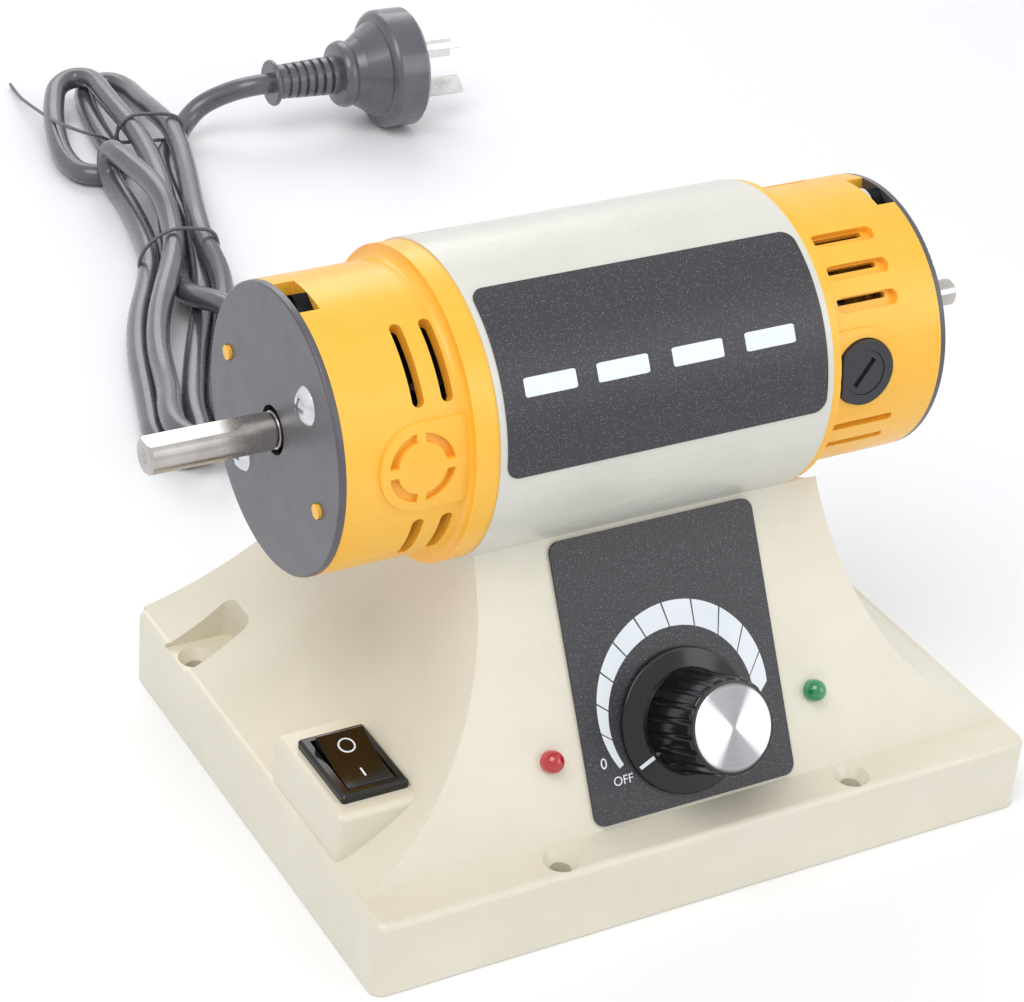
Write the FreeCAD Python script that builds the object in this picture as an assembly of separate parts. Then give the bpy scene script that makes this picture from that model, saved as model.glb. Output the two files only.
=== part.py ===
import FreeCAD, Part
import math
import os

# Dental polishing lathe: a cast base with a leaning control panel carries a two-ended motor.
# Frame: X runs along the spindle and the main shaft points to -X. The front faces -Y. Z is up.
# Origin: centre of the base's footprint, on the bench. All sizes are millimetres.

V = FreeCAD.Vector
X_AXIS = V(1, 0, 0)
Y_AXIS = V(0, 1, 0)
Z_AXIS = V(0, 0, 1)

# Base casting
BASE_LENGTH = 163.0
BASE_DEPTH = 124.0
RIM_HEIGHT = 18.0
WALL = 3.0
FRONT_LEDGE = 10.0
FRONT_LEAN = 29.24
REAR_LEAN = 28.0
WAIST_CENTRE_X = 104.6
WAIST_CENTRE_Z = 74.8
WAIST_RADIUS = 62.1
EDGE_ROUND = 1.6
PLINTH_CORNER = 3.0
HOLLOW_TOP = 80.0
BOLT_BOSS_RADIUS = 5.4
SINK_RADIUS = 4.0
SINK_DEPTH = 2.4
POCKET = (64.8, 81.0, 35.0, 46.4)
POCKET_CORNER = 2.5
POCKET_BLOCK = (61.8, 81.5, 32.0, 49.4)
SWITCH_BOSS = (-80.0, -52.0, -39.6, -8.0)
COVER_POST_RADIUS = 3.6
COVER_SCREW_RADIUS = 1.3
COVER_SCREW_HEAD = 2.5
COVER_SCREW_TOP = 9.0
COVER_GAP = 0.2
COVER_HOLE_GAP = 0.4

# Motor
AXIS_Z = 99.2
TUBE_RADIUS = 33.7
TUBE_WALL = 1.8
TUBE_LEFT = -45.2
TUBE_RIGHT = 34.0
SHELL_RADIUS = 30.4
SHELL_WALL = 3.0
COLLAR_RADIUS = 33.3
DISC_RADIUS = 30.35
DISC_THICKNESS = 1.5
LEFT_FACE = -78.9
RIGHT_FACE = 65.5
VENT_DEPTH = 8.0
BOLT_CIRCLE = 26.3
BOLT_RADIUS = 2.0
BOLT_ANGLES = (89.0, 269.0)
BOLT_CHANNEL = 45.0
NUT_ACROSS = 7.0
NUT_HEIGHT = 3.2
BOLT_HEAD = 3.0
LUG_REACH = 4.6
LUG_SPAN = 11.5
SCREW_CIRCLE = 19.3
DOME_RADIUS = 5.0
DOME_HEIGHT = 2.0
SCREW_LENGTH = 9.5
SCREW_ANGLES = (43.0, 223.0)
PEG_CIRCLE = 22.6
PEG_ANGLES = (-17.0, 163.0)
PEG_RADIUS = 1.55
NOTCH_LENGTH = 4.4
TAB_HEIGHT = 0.8
TAB_X = -61.2
TAB_ANGLES = (8.0, 172.0)
TAB_RADIUS = 9.2
BRUSH_TAB_RADIUS = 9.4
RING_OUTER = 7.3
RING_INNER = 5.4
RING_BRIDGE = 1.9
ARC_SLOT_X = (-60.4, -54.0)
ARC_SLOT_WIDTH = 2.6
ARC_SLOT_SPANS = ((33.0, 61.5), (-39.0, -18.5))
SLOT_ANGLES = (64.5, 49.5, 36.0, -17.5, -29.5)
HOLDER_RADIUS = 5.4
CAP_FLANGE = 7.2
CAP_SEAT = 29.4
CAP_TOP = 31.6
CAP_INNER = 4.9
COIL_OUTER = 23.4
COIL_INNER = 18.4
COIL_OVERHANG = 5.5

# Rotor
LEFT_TIP = -106.7
RIGHT_TIP = 89.2
MAIN_SHAFT_RADIUS = 4.0
REAR_SHAFT_RADIUS = 3.0
CORE_SHAFT_RADIUS = 5.0
FLAT_END = -87.0
FLAT_DEPTH = 0.8
SEAM_TURN = 67.5
CORE_LEFT = -22.0
CORE_RIGHT = 16.0
ARMATURE_RADIUS = 17.0
AIR_GAP = 0.5
ARMATURE_SLOTS = 12
FAN_BLADES = 9
FAN_RADIUS = 23.6
COMMUTATOR_X = 43.5
COMMUTATOR_RADIUS = 11.0
BRUSH_TIP = COMMUTATOR_RADIUS + 0.05
BRUSH_ANGLES = (8.5, 171.5)
LEFT_BEARING = (-75.5, -68.5, 4.0, 11.0)
RIGHT_BEARING = (55.5, 61.5, 3.0, 9.5)

# Controls on the leaning panel, as distance across (x) and up the slope (s) from the panel's foot
PLATE_LEFT = -25.4
PLATE_RIGHT = 24.8
PLATE_FOOT = 0.8
PLATE_TOP = 62.0
PLATE_THICKNESS = 0.8
KNOB_X = -0.3
KNOB_S = 18.5
SKIRT_RADIUS = 15.8
GRIP_RADIUS = 11.2
GRIP_FLUTES = 20
KNOB_HEIGHT = 20.4
CAP_RADIUS = 9.2
POT_SHAFT_RADIUS = 2.9
POT_NUT_ACROSS = 10.0
LED_X = 33.0
LED_S = 17.2
LED_RADIUS = 2.5
LED_FLANGE = 2.9
LED_LEG_SPACING = 2.54
BUSH_RADIUS = 3.5
BUSH_HOLE = 3.6
CAN_RADIUS = 8.2
CAN_DEPTH = 9.0
POT_FLAT = 1.6
PLATE_CORNER = 2.6

# Power switch on its boss
SWITCH_X = -69.5
SWITCH_Y = -24.8
BOSS_TOP = 29.5
BEZEL_WIDTH = 15.4
BEZEL_LENGTH = 21.8
BEZEL_HEIGHT = 2.0
BEZEL_GAP = 0.2
ROCKER_WIDTH = 10.6
ROCKER_LENGTH = 16.2
ROCKER_GAP = 0.9
ROCKER_TILT = 10.0
ROCKER_PIVOT_Z = 28.0
SWITCH_BODY_WIDTH = 13.0
SWITCH_BODY_LENGTH = 19.6

# Bolt holes in the base
FRONT_HOLE = (36.6, -57.0)
REAR_HOLE = (76.0, 40.5)
HOLE_RADIUS = 2.25
COVER_THICKNESS = 1.2
COVER_POST = (70.5, 54.0)
COVER_INSET = 1.6
POCKET_FLOOR = 16.8
SADDLE_SCREW_X = (-34.0, 22.5)
SADDLE_PAD = 12.0
SADDLE_PAD_Z = 61.5
SADDLE_HEAD_RADIUS = 3.6
SADDLE_HEAD_HEIGHT = 3.0
SADDLE_NUT_LOW = 67.6
SADDLE_NUT_TOP = 70.2
SADDLE_SCREW_TOP = 70.4

# Mains lead. The hank lies behind the machine, along a line that starts at its near tie.
# Its points are given as (distance along that line, distance to its right, layer).
CORD_RADIUS = 3.25
GLAND_X = 15.0
GLAND_Z = 26.0
GLAND_HOLE = 5.2
GLAND_FLANGE = 8.0
GLAND_NUT = 7.0
GLAND_LENGTH = 26.0
BOOT_START = 2.5
BOOT_ROOT = 7.0
BOOT_TIP = 4.6
HANK_X = 10.0
HANK_Y = 250.0
HANK_HEADING = 75.9
HANK_START = ((0, 7.2, 0), (24, 7.8, 0), (50, 11.0, 0))
HANK_END = (53.5, 11.6, 1)
# Each eye of the hank: where it ends, its first and second strand, its layer, and the tied
# points (along, across, layer) that lead out of it to the next eye.
HANK_EYES = (
    (112.0, 11.5, -12.5, 0, ((62, -10.3, 0), (38, -8.4, 0), (14, -7.2, 0), (-6, -7.2, 0), (-30, -15, 0),
                             (-54, -20, 0))),
    (-106.0, -20.5, -5.5, 0, ((-46, -2.4, 0), (-8, 0, 0), (12, 0, 0), (38, 0.5, 1), (58, -1.5, 1))),
    (102.0, -5.0, -25.5, 1, ((54, -25, 1), (34, -14.5, 1), (14, -6.6, 1), (-8, -6.4, 1), (-36, -9.4, 1),
                             (-60, -15, 1))),
    (-112.0, -18.0, 3.5, 1, ((-40, 2.6, 1), (-8, 6.7, 1), (12, 7.2, 1), (34, 9.2, 1))),
)
EYE_STRAIGHT = 26.0
LAYER_PITCH = 7.25
TIE_LIFT = 1.2
NEAR_TIE = (-10.0, -12.8, 11.8, 15.9)
FAR_TIE = (64.0, -15.2, 3.8, 16.2)
TIE_WIRE = 0.5
TIE_CORNER = 0.2
LEAD_RUN = 28.0
LEAD_TURNS = ((14.5, 138.0, 42.5), (13.0, 167.0, 24.5), (10.5, 192.0, 9.0))
HANK_RUN = 30.0
TAIL_RUN = 10.5
TAIL_TURNS = ((72.7, 18.0, 13.3), (78.0, 26.8, 16.2))
PLUG_RELIEF = 22.0
PLUG_BODY = 26.0
PLUG_RADIUS = 18.8
PLUG_TIP = (71.1, 317.3, PLUG_RADIUS + 0.02)
PLUG_HEADING = -2.0
PLUG_RUN = 6.0
PLUG_BLADES = ((60, 7.9, 17.4, 30), (-60, 7.9, 17.4, -30), (180, 10.3, 20.0, 90))
BLADE_THICKNESS = 1.6
BLADE_WIDTH = 6.3


def box(x0, x1, y0, y1, z0, z1):
    """A box between two corners."""
    return Part.makeBox(x1 - x0, y1 - y0, z1 - z0, V(x0, y0, z0))


def centred_box(centre, size):
    """A box about its centre."""
    low = centre - size * 0.5
    return Part.makeBox(size.x, size.y, size.z, low)


def rod_x(radius, x0, x1):
    """A cylinder along the spindle axis."""
    return Part.makeCylinder(radius, x1 - x0, V(x0, 0, AXIS_Z), X_AXIS)


def ring_x(outer, inner, x0, x1):
    """A tube about the spindle axis."""
    return rod_x(outer, x0, x1).cut(rod_x(inner, x0 - 1, x1 + 1))


def post_z(radius, x, y, z0, z1):
    """An upright cylinder."""
    return Part.makeCylinder(radius, z1 - z0, V(x, y, z0), Z_AXIS)


def upright_hexagon(across, x, y, z0, z1):
    """An upright hexagonal prism, from its width across flats."""
    corner = across / math.sqrt(3)
    turns = [math.radians(60 * i) for i in range(6)]
    points = [V(x + corner * math.cos(t), y + corner * math.sin(t), z0) for t in turns]
    return face_of(points).extrude(V(0, 0, z1 - z0))


def join(shapes):
    """One solid out of touching shapes."""
    return shapes[0].multiFuse(shapes[1:]).removeSplitter()


def cut_all(shape, tools):
    """A shape less each of its tools."""
    for tool in tools:
        shape = shape.cut(tool)
    return shape


def face_of(points):
    """A flat face from corner points, where a tuple (middle, end) stands for an arc."""
    edges = []
    last = points[0]
    for item in points[1:] + [points[0]]:
        if isinstance(item, tuple):
            middle, end = item
            edges.append(Part.Arc(last, middle, end).toShape())
            last = end
        else:
            edges.append(Part.LineSegment(last, item).toShape())
            last = item
    return Part.Face(Part.Wire(edges))


def spun(points):
    """A solid turned about the spindle axis from an outline of (x, radius) points."""
    def place(pair):
        return V(pair[0], 0, AXIS_Z + pair[1])
    outline = []
    for item in points:
        arc = isinstance(item[0], tuple)
        outline.append((place(item[0]), place(item[1])) if arc else place(item))
    return face_of(outline).revolve(V(0, 0, AXIS_Z), X_AXIS, 360)


def at_angle(shape, angle):
    """Turn a shape made at the top of the motor to an angle: 0 is the front, 90 the top."""
    turned = shape.copy()
    turned.rotate(V(0, 0, AXIS_Z), X_AXIS, 90 - angle)
    return turned


def spot(radius, angle):
    """The offset (y, z) of a point at an angle about the spindle."""
    turn = math.radians(angle)
    return -radius * math.cos(turn), AXIS_Z + radius * math.sin(turn)


def rod_at(radius, circle, angle, x0, x1):
    """A rod along X, off the spindle's axis."""
    y, z = spot(circle, angle)
    return Part.makeCylinder(radius, x1 - x0, V(x0, y, z), X_AXIS)


def hexagon_at(across, circle, angle, x0, x1):
    """A hexagonal prism along X, off the spindle's axis, a corner pointing outwards."""
    y, z = spot(circle, angle)
    corner = across / math.sqrt(3)
    turns = [math.radians(angle + 60 * i) for i in range(6)]
    points = [V(x0, y - corner * math.cos(t), z + corner * math.sin(t)) for t in turns]
    return face_of(points).extrude(V(x1 - x0, 0, 0))


def sector(outer, inner, middle, half_span, x0, x1):
    """A part of a ring about the spindle, round an angle."""
    profile = face_of([V(x0, 0, AXIS_Z + inner), V(x1, 0, AXIS_Z + inner),
                       V(x1, 0, AXIS_Z + outer), V(x0, 0, AXIS_Z + outer)])
    start = at_angle(profile, middle + half_span)
    return start.revolve(V(0, 0, AXIS_Z), X_AXIS, 2 * half_span)


def rounded_plate(x0, x1, y0, y1, z0, z1, radius):
    """A plate with round upright corners."""
    plate = box(x0, x1, y0, y1, z0, z1)
    upright = [e for e in plate.Edges if abs(e.tangentAt(e.FirstParameter).z) > 0.9]
    return plate.makeFillet(radius, upright)


def on_panel(shape):
    """Move a shape from panel coordinates (across, up the slope, out) to the panel."""
    foot = V(0, FRONT_LEDGE - BASE_DEPTH / 2, RIM_HEIGHT)
    placed = shape.copy()
    turn = FreeCAD.Rotation(X_AXIS, 90 - FRONT_LEAN)
    placed.Placement = FreeCAD.Placement(foot, turn).multiply(shape.Placement)
    return placed


def on_rear(shape, x, height):
    """Move a shape that points along +Z to the rear panel, pointing out of it."""
    y = BASE_DEPTH / 2 - (height - RIM_HEIGHT) * math.tan(math.radians(REAR_LEAN))
    placed = shape.copy()
    turn = FreeCAD.Rotation(X_AXIS, REAR_LEAN - 90)
    placed.Placement = FreeCAD.Placement(V(x, y, height), turn).multiply(shape.Placement)
    return placed


def waisted_profile(inset, low, top):
    """The pedestal's front outline: each side is a hollow arc that ends upright."""
    radius = WAIST_RADIUS + inset
    foot_x = WAIST_CENTRE_X - math.sqrt(radius ** 2 - (WAIST_CENTRE_Z - RIM_HEIGHT) ** 2)
    neck_x = WAIST_CENTRE_X - radius
    turn = math.acos((WAIST_CENTRE_X - foot_x) / radius) / 2
    mid_x = WAIST_CENTRE_X - radius * math.cos(turn)
    mid_z = WAIST_CENTRE_Z - radius * math.sin(turn)
    back = BASE_DEPTH
    face = face_of([
        V(foot_x, back, low), V(foot_x, back, RIM_HEIGHT),
        (V(mid_x, back, mid_z), V(neck_x, back, WAIST_CENTRE_Z)),
        V(neck_x, back, top), V(-neck_x, back, top), V(-neck_x, back, WAIST_CENTRE_Z),
        (V(-mid_x, back, mid_z), V(-foot_x, back, RIM_HEIGHT)), V(-foot_x, back, low)])
    return face.extrude(V(0, -2 * back, 0))


def leaning_profile(inset, low, top):
    """The pedestal's side outline: both panels lean in towards the motor."""
    front_shift = inset / math.cos(math.radians(FRONT_LEAN))
    rear_shift = inset / math.cos(math.radians(REAR_LEAN))
    front = FRONT_LEDGE - BASE_DEPTH / 2 + front_shift
    rear = BASE_DEPTH / 2 - rear_shift
    rise = top - RIM_HEIGHT
    far = BASE_LENGTH
    face = face_of([
        V(-far, front, low), V(-far, rear, low), V(-far, rear, RIM_HEIGHT),
        V(-far, rear - rise * math.tan(math.radians(REAR_LEAN)), top),
        V(-far, front + rise * math.tan(math.radians(FRONT_LEAN)), top),
        V(-far, front, RIM_HEIGHT)])
    return face.extrude(V(2 * far, 0, 0))


def base_outside():
    """The casting's outer form, without holes."""
    half_x = BASE_LENGTH / 2
    half_y = BASE_DEPTH / 2
    plinth = rounded_plate(-half_x, half_x, -half_y, half_y, 0, RIM_HEIGHT, PLINTH_CORNER)
    top_edges = [e for e in plinth.Edges if e.BoundBox.ZMin > RIM_HEIGHT - 0.1]
    plinth = plinth.makeFillet(EDGE_ROUND, top_edges)
    pedestal = waisted_profile(0, 2, AXIS_Z).common(leaning_profile(0, 2, AXIS_Z))
    left, right, near, far = SWITCH_BOSS
    boss = box(left, right, near, far, COVER_THICKNESS, BOSS_TOP)
    outer = [e for e in boss.Edges if e.BoundBox.XMax < right - 1 or e.BoundBox.ZMin > BOSS_TOP - 0.1]
    boss = boss.makeFillet(EDGE_ROUND, [e for e in outer if e.BoundBox.ZMax > RIM_HEIGHT])
    body = join([plinth, pedestal, boss])
    return body.cut(rod_x(TUBE_RADIUS, -BASE_LENGTH, BASE_LENGTH))


def base_hollow():
    """The space inside the casting."""
    half_x = BASE_LENGTH / 2 - WALL
    half_y = BASE_DEPTH / 2 - WALL
    plinth = rounded_plate(-half_x, half_x, -half_y, half_y, -1, RIM_HEIGHT - WALL, 1.5)
    pedestal = waisted_profile(WALL, 2, HOLLOW_TOP).common(leaning_profile(WALL, 2, HOLLOW_TOP))
    left, right, near, far = SWITCH_BOSS
    boss = box(left + WALL, right, near + WALL, far - WALL, COVER_THICKNESS, BOSS_TOP - WALL)
    hollow = join([plinth, pedestal, boss])
    return hollow.cut(rod_x(TUBE_RADIUS + WALL, -BASE_LENGTH, BASE_LENGTH))


def rear_pocket(side):
    """The flat-floored scoop in the ramp above a rear bolt hole."""
    left, right, near, far = POCKET
    reach = 2 * POCKET_CORNER
    pocket = box(left, right + reach, near, far, POCKET_FLOOR, AXIS_Z)
    inner = [e for e in pocket.Edges if e.BoundBox.XMax < left + 0.1 and e.BoundBox.ZLength > reach]
    pocket = pocket.makeFillet(POCKET_CORNER, inner)
    pocket = pocket.cut(box(right, right + 2 * reach, near - 1, far + 1, 0, AXIS_Z + 1))
    if side < 0:
        pocket = pocket.mirror(V(0, 0, 0), X_AXIS)
    return pocket


def bolt_holes():
    """Through holes with a countersink, one near each corner."""
    holes = []
    for side in (-1, 1):
        for (x, y), top in ((FRONT_HOLE, RIM_HEIGHT), (REAR_HOLE, POCKET_FLOOR)):
            holes.append(post_z(HOLE_RADIUS, side * x, y, -1, 2 * RIM_HEIGHT))
            foot = V(side * x, y, top - SINK_DEPTH)
            sink = Part.makeCone(HOLE_RADIUS, SINK_RADIUS, SINK_DEPTH, foot, Z_AXIS)
            holes.append(sink)
    return holes


def base_casting():
    """Hollow casting with control panel, switch boss, pockets, bosses and posts."""
    outside = base_outside()
    bosses = []
    for side in (-1, 1):
        for x, y in (FRONT_HOLE, REAR_HOLE):
            bosses.append(post_z(BOLT_BOSS_RADIUS, side * x, y, COVER_THICKNESS, RIM_HEIGHT))
        for rear in (-1, 1):
            x, y = side * COVER_POST[0], rear * COVER_POST[1]
            bosses.append(post_z(COVER_POST_RADIUS, x, y, COVER_THICKNESS, RIM_HEIGHT + 6))
        low_x, high_x = sorted((side * POCKET_BLOCK[0], side * POCKET_BLOCK[1]))
        bosses.append(box(low_x, high_x, POCKET_BLOCK[2], POCKET_BLOCK[3], POCKET_FLOOR - WALL, 45))
    for x in SADDLE_SCREW_X:
        half = SADDLE_PAD / 2
        bosses.append(box(x - half, x + half, -half, half, SADDLE_PAD_Z, AXIS_Z - TUBE_RADIUS + 0.5))
    body = outside.cut(base_hollow())
    body = body.multiFuse([b.common(outside) for b in bosses])
    body = cut_all(body, [rear_pocket(-1), rear_pocket(1)] + bolt_holes())
    tools = [on_panel(Part.makeCylinder(BUSH_HOLE, 20, V(KNOB_X, KNOB_S, -10), Z_AXIS))]
    for side in (-1, 1):
        tools.append(on_panel(Part.makeCylinder(LED_RADIUS, 20, V(side * LED_X, LED_S, -10), Z_AXIS)))
        for rear in (-1, 1):
            x, y = side * COVER_POST[0], rear * COVER_POST[1]
            tools.append(post_z(COVER_SCREW_RADIUS, x, y, -1, COVER_SCREW_TOP + 3))
    opening = V(SWITCH_X, SWITCH_Y, BOSS_TOP)
    tools.append(centred_box(opening, V(SWITCH_BODY_WIDTH, SWITCH_BODY_LENGTH, 12)))
    around = V(BEZEL_WIDTH + 2 * BEZEL_GAP, BEZEL_LENGTH + 2 * BEZEL_GAP, 2 * BEZEL_HEIGHT)
    tools.append(centred_box(opening + V(0, 0, BEZEL_HEIGHT), around))
    tools.append(on_rear(Part.makeCylinder(GLAND_HOLE, 20, V(0, 0, -10), Z_AXIS), GLAND_X, GLAND_Z))
    for x in SADDLE_SCREW_X:
        tools.append(post_z(BOLT_RADIUS, x, 0, SADDLE_PAD_Z - 6, SADDLE_SCREW_TOP))
    tools.append(box(-BASE_LENGTH, BASE_LENGTH, -BASE_DEPTH, BASE_DEPTH, -WALL, 0))
    half_x = BASE_LENGTH / 2 - COVER_INSET
    half_y = BASE_DEPTH / 2 - COVER_INSET
    tools.append(rounded_plate(-half_x, half_x, -half_y, half_y, -1, COVER_THICKNESS, 2.0))
    return cut_all(body, tools).removeSplitter()


def bottom_cover():
    """Sheet that closes the base, flush with its rim."""
    half_x = BASE_LENGTH / 2 - COVER_INSET - COVER_GAP
    half_y = BASE_DEPTH / 2 - COVER_INSET - COVER_GAP
    sheet = rounded_plate(-half_x, half_x, -half_y, half_y, 0, COVER_THICKNESS, 1.8)
    tools = []
    for side in (-1, 1):
        for x, y in (FRONT_HOLE, REAR_HOLE):
            tools.append(post_z(HOLE_RADIUS + COVER_HOLE_GAP, side * x, y, -1, 3))
        for rear in (-1, 1):
            x, y = side * COVER_POST[0], rear * COVER_POST[1]
            wide, narrow = COVER_SCREW_HEAD + 0.1, COVER_SCREW_RADIUS + 0.1
            tools.append(Part.makeCone(wide, narrow, COVER_THICKNESS, V(x, y, 0), Z_AXIS))
    return cut_all(sheet, tools)


def cover_screws():
    """Countersunk screws that hold the bottom cover."""
    screws = []
    for side in (-1, 1):
        for rear in (-1, 1):
            x, y = side * COVER_POST[0], rear * COVER_POST[1]
            radius = COVER_SCREW_RADIUS
            head = Part.makeCone(COVER_SCREW_HEAD, radius, COVER_THICKNESS, V(x, y, 0), Z_AXIS)
            shank = post_z(radius, x, y, COVER_THICKNESS, COVER_SCREW_TOP)
            screws.append(head.fuse(shank).removeSplitter())
    return Part.makeCompound(screws)


def saddle_screws():
    """Screws that pull the motor tube down on the saddle."""
    screws = []
    for x in SADDLE_SCREW_X:
        head = post_z(SADDLE_HEAD_RADIUS, x, 0, SADDLE_PAD_Z - SADDLE_HEAD_HEIGHT, SADDLE_PAD_Z)
        shank = post_z(BOLT_RADIUS, x, 0, SADDLE_PAD_Z, SADDLE_SCREW_TOP)
        screws.append(head.fuse(shank).removeSplitter())
    return Part.makeCompound(screws)


def saddle_nuts():
    """Nuts inside the motor tube for the saddle screws."""
    nuts = []
    for x in SADDLE_SCREW_X:
        nut = upright_hexagon(NUT_ACROSS, x, 0, SADDLE_NUT_LOW, SADDLE_NUT_TOP)
        nuts.append(nut.cut(post_z(BOLT_RADIUS, x, 0, SADDLE_PAD_Z, AXIS_Z)))
    return Part.makeCompound(nuts)


def dial_plate():
    """Face plate of the speed control."""
    plate = rounded_plate(PLATE_LEFT, PLATE_RIGHT, PLATE_FOOT, PLATE_TOP, 0, PLATE_THICKNESS,
                          PLATE_CORNER)
    hole = Part.makeCylinder(BUSH_HOLE, 5, V(KNOB_X, KNOB_S, -1), Z_AXIS)
    return on_panel(plate.cut(hole))


def led(side):
    """Round-headed indicator lamp pushed through the panel from behind."""
    centre = V(side * LED_X, LED_S, 0)
    barrel = Part.makeCylinder(LED_RADIUS, 6.6, centre + V(0, 0, -5.6), Z_AXIS)
    dome = Part.makeSphere(LED_RADIUS, centre + V(0, 0, 1.0), Z_AXIS, 0, 90, 360)
    flange = Part.makeCylinder(LED_FLANGE, 1.0, centre + V(0, 0, -WALL - 1.0), Z_AXIS)
    half = LED_LEG_SPACING / 2
    legs = [Part.makeCylinder(0.3, 8, centre + V(dx, 0, -13), Z_AXIS) for dx in (-half, half)]
    return on_panel(join([barrel, dome, flange] + legs))


def pot_body():
    """Speed potentiometer: can, threaded bush and three tags behind the panel."""
    centre = V(KNOB_X, KNOB_S, 0)
    can = Part.makeCylinder(CAN_RADIUS, CAN_DEPTH, centre + V(0, 0, -WALL - CAN_DEPTH), Z_AXIS)
    bush = Part.makeCylinder(BUSH_RADIUS, 2 * WALL, centre + V(0, 0, -WALL), Z_AXIS)
    tags = [box(KNOB_X + dx - 1, KNOB_X + dx + 1, KNOB_S - 13, KNOB_S - 6, -8.0, -7.4)
            for dx in (-5, 0, 5)]
    bore = Part.makeCylinder(POT_SHAFT_RADIUS + 0.05, 20, centre + V(0, 0, -WALL - 5), Z_AXIS)
    return on_panel(join([can, bush] + tags).cut(bore))


def pot_nut():
    """Nut that clamps the potentiometer on the panel."""
    nut = upright_hexagon(POT_NUT_ACROSS, KNOB_X, KNOB_S, PLATE_THICKNESS, PLATE_THICKNESS + 2.0)
    bush = Part.makeCylinder(BUSH_RADIUS, 2 * WALL, V(KNOB_X, KNOB_S, -1), Z_AXIS)
    return on_panel(nut.cut(bush))


def pot_shaft():
    """Turning shaft of the potentiometer, with the flat that drives the knob."""
    centre = V(KNOB_X, KNOB_S, 0)
    shaft = Part.makeCylinder(POT_SHAFT_RADIUS, 21, centre + V(0, 0, -WALL - 4.5), Z_AXIS)
    flat = box(KNOB_X - 5, KNOB_X + 5, KNOB_S + POT_FLAT, KNOB_S + 5, 5, 30)
    return on_panel(shaft.cut(flat))


def knob_body():
    """Fluted grip on a wide skirt, hollow underneath to clear the nut."""
    centre = V(KNOB_X, KNOB_S, 0)
    low = PLATE_THICKNESS + 0.4
    rim = low + 1.0
    profile = face_of([
        V(0, 0, low), V(SKIRT_RADIUS - 0.5, 0, low),
        (V(SKIRT_RADIUS, 0, low + 0.5), V(SKIRT_RADIUS - 0.5, 0, rim)),
        V(GRIP_RADIUS + 0.4, 0, rim + 1.2), V(GRIP_RADIUS, 0, rim + 2.2),
        V(GRIP_RADIUS - 0.8, 0, KNOB_HEIGHT - 0.8),
        (V(GRIP_RADIUS - 1.1, 0, KNOB_HEIGHT - 0.2), V(GRIP_RADIUS - 1.7, 0, KNOB_HEIGHT)),
        V(0, 0, KNOB_HEIGHT)])
    grip = profile.revolve(V(0, 0, 0), Z_AXIS, 360)
    tools = []
    for i in range(GRIP_FLUTES):
        turn = 2 * math.pi * i / GRIP_FLUTES
        reach = GRIP_RADIUS + 0.45
        foot = V(reach * math.cos(turn), reach * math.sin(turn), rim + 2.2)
        lean = V(-0.8 * math.cos(turn), -0.8 * math.sin(turn), KNOB_HEIGHT - rim - 2.2)
        tools.append(Part.makeCylinder(0.95, lean.Length + 1, foot, lean))
    tools.append(Part.makeCylinder(CAP_RADIUS, 3, V(0, 0, KNOB_HEIGHT - 0.5), Z_AXIS))
    tools.append(Part.makeCylinder(7.0, 3.6, V(0, 0, 0), Z_AXIS))
    shaft = Part.makeCylinder(POT_SHAFT_RADIUS, 17, V(0, 0, 0), Z_AXIS)
    tools.append(shaft.cut(box(-5, 5, POT_FLAT, 5, 5, 30)))
    grip = cut_all(grip, tools)
    grip.translate(centre)
    return on_panel(grip)


def knob_cap():
    """Spun metal disc set in the knob's end."""
    disc = Part.makeCylinder(CAP_RADIUS, 1.1, V(KNOB_X, KNOB_S, KNOB_HEIGHT - 0.5), Z_AXIS)
    edge = [e for e in disc.Edges if abs(e.BoundBox.ZMin - KNOB_HEIGHT - 0.6) < 0.01]
    return on_panel(disc.makeChamfer(0.35, edge))


def switch_housing():
    """Frame and body of the power switch, snapped into the boss."""
    centre = V(SWITCH_X, SWITCH_Y, 0)
    half_w = BEZEL_WIDTH / 2
    half_l = BEZEL_LENGTH / 2
    top = BOSS_TOP + BEZEL_HEIGHT
    frame = rounded_plate(-half_w, half_w, -half_l, half_l, BOSS_TOP, top, 0.8)
    upper = [e for e in frame.Edges if e.BoundBox.ZMin > top - 0.1]
    frame = frame.makeChamfer(0.6, upper)
    body = centred_box(V(0, 0, BOSS_TOP - 8), V(SWITCH_BODY_WIDTH - 0.2, SWITCH_BODY_LENGTH - 0.2, 16))
    well = centred_box(V(0, 0, top), V(ROCKER_WIDTH + 0.8, ROCKER_LENGTH + 2 * ROCKER_GAP, 20))
    shape = frame.fuse(body).cut(well)
    pin = Part.makeCylinder(0.9, ROCKER_WIDTH + 2, V(-ROCKER_WIDTH / 2 - 1, 0, ROCKER_PIVOT_Z), X_AXIS)
    shape = shape.fuse(pin).removeSplitter()
    shape.translate(centre)
    return shape


def switch_rocker():
    """Two-winged rocker, tilted with its rear wing up."""
    half_w = ROCKER_WIDTH / 2
    half_l = ROCKER_LENGTH / 2
    pivot = V(0, 0, ROCKER_PIVOT_Z)
    top = BOSS_TOP + BEZEL_HEIGHT + 1.3
    dip = top - 0.9
    profile = face_of([
        V(-half_w, -half_l + 1.4, ROCKER_PIVOT_Z - 1.2), V(-half_w, half_l - 1.4, ROCKER_PIVOT_Z - 1.2),
        V(-half_w, half_l, top - 0.5), V(-half_w, half_l - 0.5, top),
        (V(-half_w, 0, dip), V(-half_w, -half_l + 0.5, top)), V(-half_w, -half_l, top - 0.5)])
    wing = profile.extrude(V(ROCKER_WIDTH, 0, 0))
    wing = wing.cut(Part.makeCylinder(0.95, 40, pivot - V(20, 0, 0), X_AXIS))
    wing.rotate(pivot, X_AXIS, ROCKER_TILT)
    wing.translate(V(SWITCH_X, SWITCH_Y, 0))
    return wing


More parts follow.
